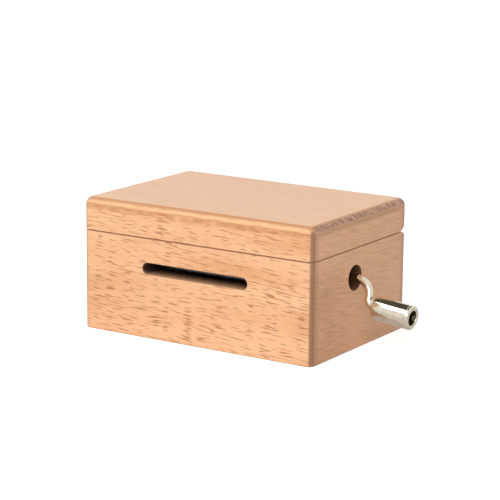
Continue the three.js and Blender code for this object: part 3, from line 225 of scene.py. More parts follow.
@dataclass(frozen=True)
class Beech:
    """Steamed beech, planed, sanded and sealed with a satin lacquer.

    Long faces show short brown ray flecks that run with the grain along X, over pale bands and fine fibre.
    Ends drink more finish: they are darker, with fine lines along Y, and browner where an edge is rounded.
    Along the lid's rounded front edge the cutter crossed the growth rings, which leaves ochre lines there, with
    a painted highlight between them.

    A field of four numbers says between which two levels a share changes, and from what to what. A field of
    two says between which levels it changes from none to all. Sizes and places are millimetres.
    """

    name: str = "beech_sealed"
    roughness: float = 0.42
    ior: float = 1.5
    bump_strength: float = 0.35
    relief: float = 0.02
    relief_length: float = 6.0
    wander_size: Size = (34, 26, 16)
    wander: Size = (2, 2, 2)

    ground: str = "#F5BC8D"
    pale: str = "#F8C598"
    band: str = "#E9AB7A"
    band_size: Size = (60, 9, 7)
    band_levels: Size = (0.3, 0.48, 0.66)
    # Upward faces turn to this paler, less saturated colour: a painted sheen
    top: str = "#FDCFAA"
    sheen_facing: Span = (0.9, 0.995, 0, 0.75)
    fibre: float = 0.32
    fibre_length: float = 7.0
    fibre_share: Span = (0.42, 0.72, 0, 0.3)

    fleck: str = "#B8764A"
    fleck_layers: tuple[Size, ...] = ((6.6, 0.54, 0.682), (5.0, 0.43, 0.704))
    fleck_slant: float = 3.5
    fleck_rise: float = 0.1
    fleck_share: float = 0.8
    fleck_drift_size: Size = (24, 13, 1)
    fleck_drift: Span = (0.3, 0.7, -0.035, 0.03)
    fleck_upward: float = 0.75
    fleck_facing: Span = (0.1, 0.95, 1, 0.08)

    end: str = "#E8B287"
    end_line: str = "#CE9A71"
    end_pale: str = "#F0BE94"
    end_facing: Pair = (0.45, 0.8)
    end_size: Size = (4, 8, 0.5)
    end_slant: float = 9.0
    end_roughness: float = 0.6
    end_levels: Size = (0.25, 0.5, 0.75)
    # Painted shade that darkens the end faces towards their lower front
    painted_shade: float = 0.16
    painted_shade_front: Pair = (-2, -24)
    painted_shade_low: Pair = (37, 24)

    ring_line: str = "#CB8F60"
    ring_foot: str = "#CF8C5E"
    # Painted highlight along the lid's rounded front edge, between the ring lines
    edge_highlight: str = "#EEBC88"
    ring_size: Size = (5, 3, 3)
    ring_wobble: Span = (0.3, 0.7, -0.11, 0.11)
    ring_levels: Span = (0.14, 0.28, 0.5, 0.74)
    ring_facing: Span = (0.02, 0.2, 0, 0.85)
    ring_top: Pair = (0.99, 0.92)
    ring_reach: Pair = (43, 45)
    ring_fade: float = 0.85
    ring_patches: Span = (0.35, 0.6, 0.3, 1)

    corner: str = "#96664A"
    # Painted highlight on the upward-facing part of the rounded ends
    corner_highlight: str = "#D8A688"
    corner_share: Span = (0, 0.09, 0, 0.85)
    stain: float = 0.38
    stain_low: Pair = (43.2, 44.8)
    stain_out: Pair = (27.6, 30.4)
    stain_facing: Pair = (0.3, 0.7)
    hatch: str = "#7A4C34"
    hatch_size: Size = (9, 0.55, 5)
    hatch_slant: float = 52.0
    hatch_marks: Span = (0.42, 0.6, 0.12, 1)
    hatch_foot: Pair = (0.12, 0.4)
    hatch_head: Pair = (0.98, 0.8)

    # Painted shadow along the seam
    seam_shadow: str = "#553520"
    seam_height: float = 36.0
    seam_reach: Pair = (0.3, 0.15)
    seam_facing: Pair = (0.97, 0.8)

    def material(self) -> bpy.types.Material:
        """Build the material on Object coordinates.

        The bumps are the fibres less the flecks, which lie a few hundredths of a millimetre below the rest.

        Returns:
            The material.
        """
        on = Board(bpy.data.materials.new(self.name), self.wander_size, self.wander)
        flecks = self.flecks(on)
        side = on.add("Mix", {0: flecks, 6: self.side_grain(on), 7: linear(self.fleck)}, **COLOURS)
        ringed = self.ring_lines(on, side[2])
        ends = on.add("MapRange", [on.facing[0], *self.end_facing], **SMOOTH)
        faces = on.add("Mix", {0: ends[0], 6: ringed, 7: self.end_grain(on)}, **COLOURS)
        colour = self.seam_shade(on, self.rounded_ends(on, faces[2]))
        fibres = on.noise(on.bent, (self.relief_length, self.fibre, self.fibre), 2.0)
        height = on.add("Math", [fibres["Fac"], flecks], operation="SUBTRACT")
        finish = {"Roughness": self.roughness, "IOR": self.ior}
        return on.close(colour, height[0], self.bump_strength, self.relief, **finish)

    def side_grain(self, on: Board) -> Socket:
        """Colour of the long faces: slow bands and fine fibre drawn out along X; the top turns paler, a painted
        sheen.

        Args:
            on: The board's tree and sockets.

        Returns:
            The colour.
        """
        bands = on.noise(on.bent, self.band_size, 2.0)
        tones = (self.band, self.ground, self.pale)
        ramp = on.add("ValToRGB", [bands["Fac"]], stops=(self.band_levels, tones))
        # Painted sheen on the top
        painted_sheen = on.add("MapRange", [on.facing[2], *self.sheen_facing], **SMOOTH)
        ground = on.add("Mix", {0: painted_sheen[0], 6: ramp[0], 7: linear(self.top)}, **COLOURS)
        fibres = on.noise(on.bent, (self.fibre_length, 2 * self.fibre, self.fibre), 2.0)
        share = on.add("MapRange", [fibres["Fac"], *self.fibre_share])
        return on.add("Mix", {0: share[0], 6: ground[2], 7: linear(self.band)}, **COLOURS)[2]

    def end_grain(self, on: Board) -> Socket:
        """Colour of the end faces: fine wavy lines along Y, with painted shade that darkens their lower front.

        Args:
            on: The board's tree and sockets.

        Returns:
            The colour.
        """
        lines = on.noise(on.bent, self.end_size, 4.0, (-self.end_slant, 0, 0), self.end_roughness)
        # Painted shade, strongest at the lower front of the ends
        front, low = [
            on.add("MapRange", [on.bent_parts[axis], *spaced(*reach)], **SMOOTH)
            for axis, reach in ((1, self.painted_shade_front), (2, self.painted_shade_low))
        ]
        painted_shade_share = on.add("Math", [front[0], low[0]], operation="MULTIPLY")
        level = on.add("Math", [painted_shade_share[0], -self.painted_shade, lines["Fac"]], operation="MULTIPLY_ADD")
        tones = (self.end_line, self.end, self.end_pale)
        return on.add("ValToRGB", [level[0]], stops=(self.end_levels, tones))[0]

    def flecks(self, on: Board) -> Socket:
        """Strength of the ray flecks: the peaks of two stretched noises, one coarse and one finer.

        A fleck is where the noise, plus a slow drift of its level, passes the layer's threshold. On the top
        the noise lies along X and Y, elsewhere along X and Z, and the top's flecks are faint.

        Args:
            on: The board's tree and sockets.

        Returns:
            The strength, from 0 to 1.
        """
        upward = on.add("Math", [on.facing[2], self.fleck_upward], operation="GREATER_THAN")
        across = on.add("Mix", {0: upward[0], 2: on.bent_parts[2], 3: on.bent_parts[1]})
        flat = on.add("CombineXYZ", [on.bent_parts[0], across[0]])[0]
        drift = on.noise(flat, self.fleck_drift_size, 0.0, dimensions="2D")
        level = on.add("MapRange", [drift["Fac"], *self.fleck_drift])
        strongest = 0.0
        for length, spacing, threshold in self.fleck_layers:
            layer = on.noise(flat, (length, spacing, 1), 0.0, (0, 0, -self.fleck_slant), dimensions="2D")
            raised = on.add("Math", [layer["Fac"], level[0]], operation="ADD")
            ends = (threshold, threshold + self.fleck_rise, 0, self.fleck_share)
            peaks = on.add("MapRange", [raised[0], *ends], **SMOOTH)
            strongest = on.add("Math", [peaks[0], strongest], operation="MAXIMUM")[0]
        share = on.add("MapRange", [on.facing[2], *self.fleck_facing], **SMOOTH)
        return on.add("Math", [strongest, share[0]], operation="MULTIPLY")[0]

    def ring_lines(self, on: Board, colour: Socket) -> Socket:
        """Growth rings cut lengthwise by the lid's rounded edge: two brown lines, and a painted highlight
        between them.

        The place of a line is where the upward share of the normal, wobbled by noise, meets its levels. The
        lower brown fades out in patches on the face below the edge.

        Args:
            on: The board's tree and sockets.
            colour: Colour of the wood under the lines.

        Returns:
            The colour with the lines.
        """
        wobble = on.noise(on.bent, self.ring_size, 3.0)
        shift = on.add("MapRange", [wobble["Fac"], *self.ring_wobble])
        level = on.add("Math", [on.facing[2], shift[0]], operation="ADD")
        # The pale stops are a painted highlight
        tones = (self.ring_foot, self.edge_highlight, self.edge_highlight, self.ring_line)
        tint = on.add("ValToRGB", [level[0]], stops=(self.ring_levels, tones))
        rounded = on.add("MapRange", [on.facing[2], *self.ring_facing], **SMOOTH)
        ends = (*spaced(*self.ring_reach), 0, self.ring_fade)
        fading = on.add("MapRange", [on.bent_parts[2], *ends], **SMOOTH)
        patchy = on.add("MapRange", [wobble["Fac"], *self.ring_patches])
        below = on.add("Math", [fading[0], patchy[0]], operation="MULTIPLY")
        reached = on.add("Math", [rounded[0], below[0]], operation="MAXIMUM")
        beside_top = on.add("MapRange", [on.facing[2], *self.ring_top], **SMOOTH)
        share = on.add("Math", [reached[0], beside_top[0]], operation="MULTIPLY")
        return on.add("Mix", {0: share[0], 6: colour, 7: tint[0]}, **COLOURS)[2]

    def rounded_ends(self, on: Board, colour: Socket) -> Socket:
        """Darken the rounded edges of the ends, with hatching across the lid's edge, and paint a highlight
        where they face up.

        The share grows with the fourth power of the normal's part along X, times what is left of one after
        its square. A weaker stain reaches a little onto the end's face.

        Args:
            on: The board's tree and sockets.
            colour: Colour of the wood under the darkening.

        Returns:
            The darkened colour.
        """
        squared = on.add("Math", [on.facing[0], 2.0], operation="POWER")[0]
        rest = on.add("Math", [1.0, squared], operation="SUBTRACT")
        fourth = on.add("Math", [squared, 2.0], operation="POWER")
        product = on.add("Math", [fourth[0], rest[0]], operation="MULTIPLY")
        share = on.add("MapRange", [product[0], *self.corner_share], **SMOOTH)
        outward = on.add("Math", [on.parts[1]], operation="ABSOLUTE")[0]
        sideways = on.add("MapRange", [on.facing[0], *self.stain_facing], **SMOOTH)
        for distance, reach in ((on.parts[2], self.stain_low), (outward, self.stain_out)):
            ends = (*spaced(*reach), 0, self.stain)
            stain = on.add("MapRange", [distance, *ends], **SMOOTH)
            stained = on.add("Math", [stain[0], sideways[0]], operation="MULTIPLY")
            share = on.add("Math", [share[0], stained[0]], operation="MAXIMUM")
        hatch = on.noise(on.place, self.hatch_size, 2.0, (self.hatch_slant, 0, 0))
        marks, foot, head = [
            on.add("MapRange", [level, *ends], **SMOOTH)
            for level, ends in (
                (hatch["Fac"], self.hatch_marks),
                (on.facing[2], self.hatch_foot),
                (on.facing[2], self.hatch_head),
            )
        ]
        for end in (foot, head):
            marks = on.add("Math", [marks[0], end[0]], operation="MULTIPLY")
        # Painted highlight: the rounding turns lighter where it faces up
        edge = on.add("Mix", {0: foot[0], 6: linear(self.corner), 7: linear(self.corner_highlight)}, **COLOURS)
        marked = on.add("Mix", {0: marks[0], 6: edge[2], 7: linear(self.hatch)}, **COLOURS)
        return on.add("Mix", {0: share[0], 6: colour, 7: marked[2]}, **COLOURS)[2]

    def seam_shade(self, on: Board, colour: Socket) -> Socket:
        """A painted shadow line where lid and body meet, on faces that look outwards.

        Its share falls from one near the seam's height to zero at the reach above and below it.

        Args:
            on: The board's tree and sockets.
            colour: Colour of the wood beside the line.

        Returns:
            The colour with the line.
        """
        above = on.add("Math", [on.parts[2], self.seam_height * MM], operation="SUBTRACT")
        distance = on.add("Math", [above[0]], operation="ABSOLUTE")
        near = on.add("MapRange", [distance[0], *spaced(*self.seam_reach)])
        outward = on.add("MapRange", [on.facing[2], *self.seam_facing])
        share = on.add("Math", [near[0], outward[0]], operation="MULTIPLY")
        return on.add("Mix", {0: share[0], 6: colour, 7: linear(self.seam_shadow)}, **COLOURS)[2]


@dataclass(frozen=True)
class RoutedBeech:
    """Beech where a router or a drill went through the wall: dull, with feed marks, coloured with painted
    shade.

    This painted shade is paler at the mouth and darker further in, so that the openings look deep. It is
    darker still on faces that look along X, such as a slot's ends.
    """

    name: str = "beech_routed"
    # Colour deep inside an opening: painted shade
    deep_shade: str = "#3A2417"
    bare: str = "#CFA077"
    half_sizes: Pair = (47.5, 32.5)
    depth_levels: Span = (0.74, 1, 0, 0.8)
    feed_size: Size = (0.9, 4, 2)
    feed_share: float = 0.25
    end_shade: float = 0.65
    tone_levels: Pair = (0.15, 0.95)
    roughness: float = 0.75
    bump_strength: float = 0.5
    relief: float = 0.03

    def material(self) -> bpy.types.Material:
        """Build the material on Object coordinates.

        The tone, a painted shade, is how far out a point lies between the middle of the case and its faces,
        plus a share of the feed marks, less a further share of painted shade on surfaces that face along X.

        Returns:
            The material.
        """
        graph = Graph(bpy.data.materials.new(self.name))
        coordinates = graph.add("TexCoord")
        marks = graph.noise(coordinates["Object"], self.feed_size, 3.0)["Fac"]
        parts = graph.add("SeparateXYZ", [coordinates["Object"]])
        normal = graph.add("SeparateXYZ", [coordinates["Normal"]])
        shares = [
            graph.add("Math", [parts[axis], half * MM], operation="DIVIDE")[0]
            for axis, half in enumerate(self.half_sizes)
        ]
        along_x, along_y, sideways = [
            graph.add("Math", [part], operation="ABSOLUTE")[0] for part in (*shares, normal[0])
        ]
        outward = graph.add("Math", [along_x, along_y], operation="MAXIMUM")
        level = graph.add("MapRange", [outward[0], *self.depth_levels])
        # Painted shade deepens inward and on faces along X
        for part, share in ((marks, self.feed_share), (sideways, -self.end_shade)):
            level = graph.add("Math", [part, share, level[0]], operation="MULTIPLY_ADD")
        tone = graph.add("ValToRGB", [level[0]], stops=(self.tone_levels, (self.deep_shade, self.bare)))
        return graph.close(tone[0], marks, self.bump_strength, self.relief, Roughness=self.roughness)


class Marks(Enum):
    """How a surface was made, and the spacing in millimetres of the marks it leaves on X, Y and Z.

    Real marks are finer than a picture shows, so these are drawn a few times as coarse.
    """

    POLISHED = (2.5, 2.5, 2.5)
    CAST = (0.5, 0.5, 0.5)
    GROUND = (6.0, 0.12, 0.12)
    ROLLED = (9.0, 0.3, 0.3)
    TURNED = (0.1, 6.0, 6.0)
    MOULDED_DULL = (0.35, 0.35, 0.35)
    MOULDED = (1.2, 1.2, 1.2)


@dataclass(frozen=True)
class TwoTone:
    """A moulded plastic or rubber: marks choose between two tones and vary its roughness and its relief."""

    name: str
    colour: str
    shade: str
    roughness: float
    marks: Marks
    roughness_spread: float
    relief: float
    ior: float = 1.5
    metallic: float = 0.0
    tone_levels: Pair = (0.35, 0.65)
    roughness_levels: Pair = (0.3, 0.7)
    bump_strength: float = 0.6

    def material(self) -> bpy.types.Material:
        """Build the material on Object coordinates.

        Returns:
            The material.
        """
        graph = Graph(bpy.data.materials.new(self.name))
        marks = graph.noise(graph.add("TexCoord")["Object"], self.marks.value, 3.0)["Fac"]
        tone = graph.add("ValToRGB", [marks], stops=(self.tone_levels, (self.shade, self.colour)))
        ends = (*self.roughness_levels, self.roughness, self.roughness + self.roughness_spread)
        roughness = graph.add("MapRange", [marks, *ends])
        finish = {"Roughness": roughness[0], "Metallic": self.metallic, "IOR": self.ior}
        return graph.close(tone[0], marks, self.bump_strength, self.relief, **finish)


@dataclass(frozen=True)
class Metal(TwoTone):
    """A bare or plated metal with two tones and marks."""

    metallic: float = 1.0
    tone_levels: Pair = (0.3, 0.65)
    bump_strength: float = 0.5


# Surfaces as arrays of points

def rounded_ring(width: float, depth: float, radius: float, steps: int) -> np.ndarray:
    """Points round a rectangle with round corners, anticlockwise.

    Each corner is a quarter circle: its centre plus the radius times the cosine and sine of the angle.

    Args:
        width: Size along the first axis.
        depth: Size along the second axis.
        radius: Radius of the corners.
        steps: Stretches in each corner.

    Returns:
        Array of shape (4 * (steps + 1), 2).
    """
    angles = np.arange(4)[:, None] * np.pi / 2 + np.linspace(0, np.pi / 2, steps + 1)[None, :]
    signs = np.array([[1, 1], [-1, 1], [-1, -1], [1, -1]])
    centres = signs * np.array([width / 2 - radius, depth / 2 - radius])
    points = centres[:, None, :] + radius * np.stack([np.cos(angles), np.sin(angles)], axis=-1)
    return points.reshape(-1, 2)


def arc(radius: float, start: float, end: float, steps: int) -> np.ndarray:
    """Points on an arc round the origin, both ends included: radius times (cosine, sine) of each angle."""
    angles = np.linspace(start, end, steps + 1)
    return radius * np.stack([np.cos(angles), np.sin(angles)], axis=-1)


def disc(radius: float, steps: int) -> np.ndarray:
    """Points round a circle about the origin, without the first one again."""
    return arc(radius, 0, 2 * np.pi, steps)[:-1]


@dataclass
class Shell:
    """Points in millimetres, and the faces between them."""

    points: np.ndarray
    faces: list[list[int]]

    @classmethod
    def through(cls, rings: np.ndarray, looped: bool = False) -> "Shell":
        """A shell through rings: each face joins two steps of one ring to the same two of the next.

        Args:
            rings: Array of shape (rings, points, 3).
            looped: Whether the last ring joins the first, as round a bore. Else a face closes each end.

        Returns:
            The shell.
        """
        total, count = rings.shape[:2]
        ring, step = np.meshgrid(np.arange(total if looped else total - 1), np.arange(count), indexing="ij")
        after, above = (step + 1) % count, (ring + 1) % total
        corners = [ring * count + step, ring * count + after, above * count + after, above * count + step]
        faces = np.stack(corners, axis=-1).reshape(-1, 4).tolist()
        if not looped:
            faces += [list(range(count))[::-1], list(range((total - 1) * count, total * count))]
        return cls(rings.reshape(-1, 3), faces)


def rings_at(outlines: list[np.ndarray], places: np.ndarray | list[float], axes: str) -> np.ndarray:
    """Lift flat outlines into space.

    Args:
        outlines: One outline of equal count for each place.
        places: Where each outline stands on the third axis.
        axes: The axes of an outline's first and second numbers, such as "xy", "yz" or "xz".

    Returns:
        Array of shape (rings, points, 3).
    """
    rings = np.empty((len(outlines), len(outlines[0]), 3))
    first, second = ("xyz".index(axis) for axis in axes)
    rings[..., [first, second]] = np.stack(outlines)
    rings[..., 3 - first - second] = np.asarray(places)[:, None]
    return rings


def prism(outline: np.ndarray, low: float, high: float, axes: str) -> Shell:
    """A straight prism of one outline between two places on the third axis."""
    return Shell.through(rings_at([outline, outline], [low, high], axes))


def block(low: Size, high: Size) -> Shell:
    """A block between two corners."""
    outline = np.array([[low[0], low[1]], [high[0], low[1]], [high[0], high[1]], [low[0], high[1]]])
    return prism(outline, low[2], high[2], "xy")


def lathe(profile: np.ndarray, origin: np.ndarray, axis: np.ndarray, sides: int) -> np.ndarray:
    """Rings of a profile turned about an axis.

    Each point is the origin, plus its place along the axis, plus its radius times the cosine and sine of the
    angle on two directions square to the axis.

    Args:
        profile: Array of (along, radius).
        origin: Where along is zero.
        axis: Direction of the axis.
        sides: Points in each ring.

    Returns:
        Array of shape (profile points, sides, 3).
    """
    ahead = np.asarray(axis, dtype=float) / np.linalg.norm(axis)
    helper = np.array([0.0, 0.0, 1.0]) if abs(ahead[2]) < 0.9 else np.array([1.0, 0.0, 0.0])
    across = np.cross(helper, ahead)
    across /= np.linalg.norm(across)
    upright = np.cross(ahead, across)
    angles = np.linspace(0, 2 * np.pi, sides, endpoint=False)
    spokes = np.cos(angles)[:, None] * across + np.sin(angles)[:, None] * upright
    along, radius = np.asarray(profile, dtype=float).T
    return origin + along[:, None, None] * ahead + radius[:, None, None] * spokes[None]


# Pieces

def node_box(node: str) -> tuple[np.ndarray, np.ndarray]:
    """Lowest and highest corner of a CAD node in millimetres."""
    low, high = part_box(node)
    return np.array(low) / MM, np.array(high) / MM


def add_object(name: str, data: bpy.types.ID) -> bpy.types.Object:
    """Add an object with the given mesh, lamp or camera to the scene.

    Args:
        name: The object's name.
        data: What it shows.

    Returns:
        The object.
    """
    added = bpy.data.objects.new(name, data)
    bpy.context.scene.collection.objects.link(added)
    return added


def weld(mesh: bpy.types.Mesh, distance: float, flat: bool = False) -> None:
    """Merge a mesh's doubled points and turn its faces outwards.

    Args:
        mesh: The mesh, which is changed.
        distance: Points closer than this many millimetres are merged.
        flat: Whether faces that lie in one plane are joined.
    """
    edited = bmesh.new()
    edited.from_mesh(mesh)
    bmesh.ops.remove_doubles(edited, verts=edited.verts, dist=distance * MM)
    if flat:
        angle = np.radians(FLAT_ANGLE)
        bmesh.ops.dissolve_limit(edited, angle_limit=angle, verts=edited.verts, edges=edited.edges)
    bmesh.ops.recalc_face_normals(edited, faces=edited.faces)
    edited.to_mesh(mesh)
    edited.free()


def mesh_object(name: str, shell: Shell, finish: bpy.types.Material) -> bpy.types.Object:
    """Make a mesh object of a shell.

    Args:
        name: The object's and the mesh's name.
        shell: Its points and faces.
        finish: Its material.

    Returns:
        The object.
    """
    mesh = bpy.data.meshes.new(name)
    mesh.from_pydata((shell.points * MM).tolist(), [], shell.faces)
    mesh.materials.append(finish)
    weld(mesh, NEW_WELD)
    return add_object(name, mesh)


def solid_copy(node: str, name: str, finish: bpy.types.Material) -> bpy.types.Object:
    """Copy a CAD node as one welded mesh whose flat faces are whole.

    Args:
        node: The CAD node.
        name: The copy's name.
        finish: The copy's material.

    Returns:
        The copy.
    """
    mesh = frame["nodes"][node].data.copy()
    mesh.name = name
    mesh.materials.clear()
    mesh.materials.append(finish)
    weld(mesh, COPY_WELD, flat=True)
    return add_object(name, mesh)


def cut(piece: bpy.types.Object, cutters: list[Shell], finish: bpy.types.Material) -> None:
    """Cut shells out of a piece, one after another, and keep the result as its mesh.

    Args:
        piece: What is cut.
        cutters: Closed shells.
        finish: Material of the faces that the cuts leave.
    """
    tools = [mesh_object(f"{piece.name}_cutter_{index}", shell, finish) for index, shell in enumerate(cutters)]
    for tool in tools:
        modifier = piece.modifiers.new(tool.name, "BOOLEAN")
        modifier.operation = "DIFFERENCE"
        modifier.solver = "EXACT"
        modifier.material_mode = "TRANSFER"
        modifier.object = tool
    bpy.context.view_layer.update()
    result = bpy.data.meshes.new_from_object(piece.evaluated_get(bpy.context.evaluated_depsgraph_get()))
    piece.modifiers.clear()
    piece.data = result
    for tool in tools:
        bpy.data.objects.remove(tool)


def dress(
    piece: bpy.types.Object, node: str, edge: float = 0.0, smooth_angle: float = 32.0,
) -> bpy.types.Object:
    """Give a piece its eased edges, its shading, its body and the node that it stands for.

    Args:
        piece: The mesh object, in place.
        node: CAD node that it replaces, which gives its body.
        edge: Width of the eased edges, or zero for none.
        smooth_angle: Edges sharper than this many degrees stay sharp.

    Returns:
        The same piece.
    """
    mesh = piece.data
    mesh.shade_smooth()
    if edge:
        bevel = piece.modifiers.new("eased_edges", "BEVEL")
        bevel.width = edge * MM
        bevel.segments = EDGE_SEGMENTS
        bevel.limit_method = "ANGLE"
        bevel.angle_limit = np.radians(smooth_angle)
        bevel.use_clamp_overlap = True
    else:
        mesh.set_sharp_from_angle(angle=np.radians(smooth_angle))
    shading = piece.modifiers.new("even_shading", "WEIGHTED_NORMAL")
    shading.keep_sharp = True
    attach(piece, NODE_BODIES[node])
    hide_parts(node)
    log.info("%s stands for %s: %d faces", piece.name, node, len(mesh.polygons))
    return piece


@dataclass
class Case:
    """The beech case: a milled body and a milled lid with eased, rounded and bevelled edges."""

    wood: bpy.types.Material
    routed: bpy.types.Material
    drilled: bpy.types.Material
    wall: float = 8.0
    floor: float = 8.0
    ceiling: float = 6.0
    corner: float = 2.4
    cavity_corner: float = 3.0
    base_ease: float = 0.5
    seam_ease: float = 0.14
    seam_gap: float = 0.12
    seam_gap_depth: float = 2.2
    rim_ease: float = 0.2
    lid_edge: float = 2.7
    lid_top_corner: float = 0.8
    lid_bevel: Pair = (4.2, 5.0)
    body_bevel: Pair = (4.2, 4.0)
    lid_bulge: Pair = (0.82, 0.42)
    body_bulge: Pair = (0.84, 0.12)
    slot_length: float = 43.5
    slot_opening: float = 4.2
    slot_height: float = 25.2
    slot_ease: float = 0.16
    slot_flat: float = 0.002
    hole_radius: float = 4.4
    hole_place: Pair = (-4.0, 25.6)
    seat_depth: float = 0.9
    seat_room: float = 0.3
    knuckle_bed: float = 1.45
    bore_radius: float = 2.75
    bore_depth: float = 3.2
    shank_radius: float = 1.4
    overrun: float = 1.0
    skin: float = 0.005
    steps: int = 10
    ease_steps: int = 3
    base_steps: int = 4
    slot_steps: int = 5
    hole_sides: int = 64
    bed_sides: int = 32
    smooth_angle: float = 28.0

    def __post_init__(self) -> None:
        """Read the overall sizes from the frame."""
        _, (self.half_width, self.half_depth, self.seam) = node_box("box_body")
        self.height = node_box("box_lid")[1][2]

    def ring(self, grow: float, radius: float) -> np.ndarray:
        """The case's outline, grown by a distance, with the given corner radius."""
        return rounded_ring(2 * (self.half_width + grow), 2 * (self.half_depth + grow), radius, self.steps)

    def cavity_ring(self, grow: float) -> np.ndarray:
        """The cavity's outline, grown by a distance."""
        return self.ring(grow - self.wall, self.cavity_corner + grow)

    def seam_profile(self) -> np.ndarray:
        """Edge at the seam, from the outside to the cavity.

        A quarter round leads to a shallow step, so that a thin dark line shows where body and lid meet.

        Returns:
            Growths of the outline and heights above the seam, as the body has them.
        """
        ease = arc(self.seam_ease, 0, np.pi / 2, self.ease_steps)
        ease -= [self.seam_ease, self.seam_ease + self.seam_gap]
        step = np.array([[-self.seam_gap_depth, -self.seam_gap], [-self.seam_gap_depth - self.seam_gap, 0.0]])
        return np.concatenate([ease, step])

    def body(self) -> bpy.types.Object:
        """The body, from its underside up the outside, over the rim and down to the cavity's floor.

        Returns:
            The dressed piece.
        """
        base = arc(self.base_ease, -np.pi / 2, 0, self.base_steps) - [self.base_ease, -self.base_ease]
        seam = self.seam_profile()
        rim = arc(self.rim_ease, np.pi / 2, np.pi, self.ease_steps) + [self.rim_ease, -self.rim_ease]
        outlines = [self.ring(grow, self.corner + grow) for grow in (*base[:, 0], *seam[:, 0])]
        outlines += [self.cavity_ring(grow) for grow in (*rim[:, 0], 0)]
        heights = [*base[:, 1], *(self.seam + seam[:, 1]), *(self.seam + rim[:, 1]), self.floor]
        shell = Shell.through(rings_at(outlines, heights, "xy"))
        piece = mesh_object("case_body_milled", shell, self.wood)
        cut(piece, [self.slot(-1), self.slot(1)], self.routed)
        cut(piece, [self.crank_hole()], self.drilled)
        cut(piece, [self.bevel_cutter(-1), *self.hinge_seats(-1), *self.mounting_holes()], self.wood)
        return dress(piece, "box_body", smooth_angle=self.smooth_angle)

    def lid(self) -> bpy.types.Object:
        """The lid, from its ceiling down to the seam and up the outside over the rounded edge.

        Returns:
            The dressed piece.
        """
        rim = arc(self.rim_ease, np.pi, 3 * np.pi / 2, self.ease_steps) + [self.rim_ease, self.rim_ease]
        seam = self.seam_profile()[::-1] * [1, -1]
        top = arc(self.lid_edge, 0, np.pi / 2, self.steps) - [self.lid_edge, self.lid_edge]
        narrowing = (self.corner - self.lid_top_corner) / self.lid_edge
        outlines = [self.cavity_ring(grow) for grow in (0, *rim[:, 0])]
        outlines += [self.ring(grow, self.corner + grow) for grow in seam[:, 0]]
        outlines += [self.ring(grow, self.corner + narrowing * grow) for grow in top[:, 0]]
        heights = [
            self.height - self.ceiling, *(self.seam + rim[:, 1]), *(self.seam + seam[:, 1]),
            *(self.height + top[:, 1]),
        ]
        shell = Shell.through(rings_at(outlines, heights, "xy"))
        piece = mesh_object("case_lid_milled", shell, self.wood)
        cut(piece, [self.bevel_cutter(1), *self.hinge_seats(1)], self.wood)
        return dress(piece, "box_lid", smooth_angle=self.smooth_angle)

    def flare(self, near: float, far: float) -> tuple[np.ndarray, np.ndarray]:
        """Places across a wall and how far a cutter grows at each, so that both rims come out rounded.

        Within the ease of a face the growth is the ease less the height of a quarter circle.

        Args:
            near: Where one face of the wall is.
            far: Where its other face is.

        Returns:
            Places and growths, from outside one face to outside the other.
        """
        quarter = arc(self.slot_ease, np.pi, np.pi / 2, self.slot_steps)
        depths, grows = self.slot_ease + quarter[:, 0], self.slot_ease - quarter[:, 1]
        lead = np.array([-self.overrun, -self.skin])
        places = np.concatenate([near + lead, near + depths[1:], far - depths[:0:-1], far - lead[::-1]])
        half = np.concatenate([[self.slot_ease, self.slot_ease], grows[1:]])
        return places, np.concatenate([half, half[::-1]])

    def slot(self, side: int) -> Shell:
        """The cutter of a strip slot, whose ends are half round but for a tiny flat.

        Args:
            side: -1 for the slot in the front wall and 1 for the one in the back wall.

        Returns:
            The cutter.
        """
        places, grows = self.flare(self.half_depth - self.wall, self.half_depth)
        outlines = [
            rounded_ring(length, opening, (opening - self.slot_flat) / 2, self.steps) + [0, self.slot_height]
            for length, opening in zip(self.slot_length + 2 * grows, self.slot_opening + 2 * grows)
        ]
        return Shell.through(rings_at(outlines, side * places, "xz"))

    def crank_hole(self) -> Shell:
        """The cutter of the round hole in the right wall.

        Returns:
            The cutter.
        """
        places, grows = self.flare(self.half_width - self.wall, self.half_width)
        outlines = [disc(self.hole_radius + grow, self.hole_sides) + self.hole_place for grow in grows]
        return Shell.through(rings_at(outlines, places, "yz"))

    def bevel_cutter(self, up: int) -> Shell:
        """The cutter of the bulging bevel along the back edge at the seam.

        The edge is a curve from the seam to the back face: its two ends and a control point near the corner,
        weighted by (1 - t) squared, 2 t (1 - t) and t squared.

        Args:
            up: 1 for the lid's bevel and -1 for the body's.

        Returns:
            The cutter.
        """
        reach_in, reach_up = self.lid_bevel if up > 0 else self.body_bevel
        bulge = self.lid_bulge if up > 0 else self.body_bulge
        start = np.array([self.half_depth - reach_in, self.seam])
        end = np.array([self.half_depth, self.seam + up * reach_up])
        control = start + (end - start) * bulge
        share = np.linspace(0, 1, self.steps + 1)[:, None]
        curve = (1 - share) ** 2 * start + 2 * share * (1 - share) * control + share ** 2 * end
        outside, beyond = self.half_depth + self.overrun, self.seam - up * self.overrun
        outline = np.concatenate([[[start[0], beyond]], curve, [[outside, end[1]], [outside, beyond]]])
        reach = self.half_width + self.overrun
        return prism(outline, -reach, reach, "yz")

    def hinge_seats(self, up: int) -> list[Shell]:
        """The cutters of both hinges' beds: a flat one for the leaf and a round one for the knuckles.

        Args:
            up: 1 for the beds in the lid, above the seam, and -1 for the body's, below it.

        Returns:
            Two cutters for each hinge.
        """
        shells = []
        for side in ("left", "right"):
            low, high = node_box(f"hinge_{side}_{'lid' if up > 0 else 'body'}_leaf")
            axis = sum(node_box(f"hinge_{side}_pin"))[1:] / 2
            left, right = low[0] - self.seat_room, high[0] + self.seat_room
            bottom, top = sorted((self.seam + up * self.seat_depth, self.seam - up * self.overrun))
            shells.append(block((left, low[1] - self.seat_room, bottom), (right, axis[0], top)))
            shells.append(prism(disc(self.knuckle_bed, self.bed_sides) + axis, left, right, "yz"))
        return shells

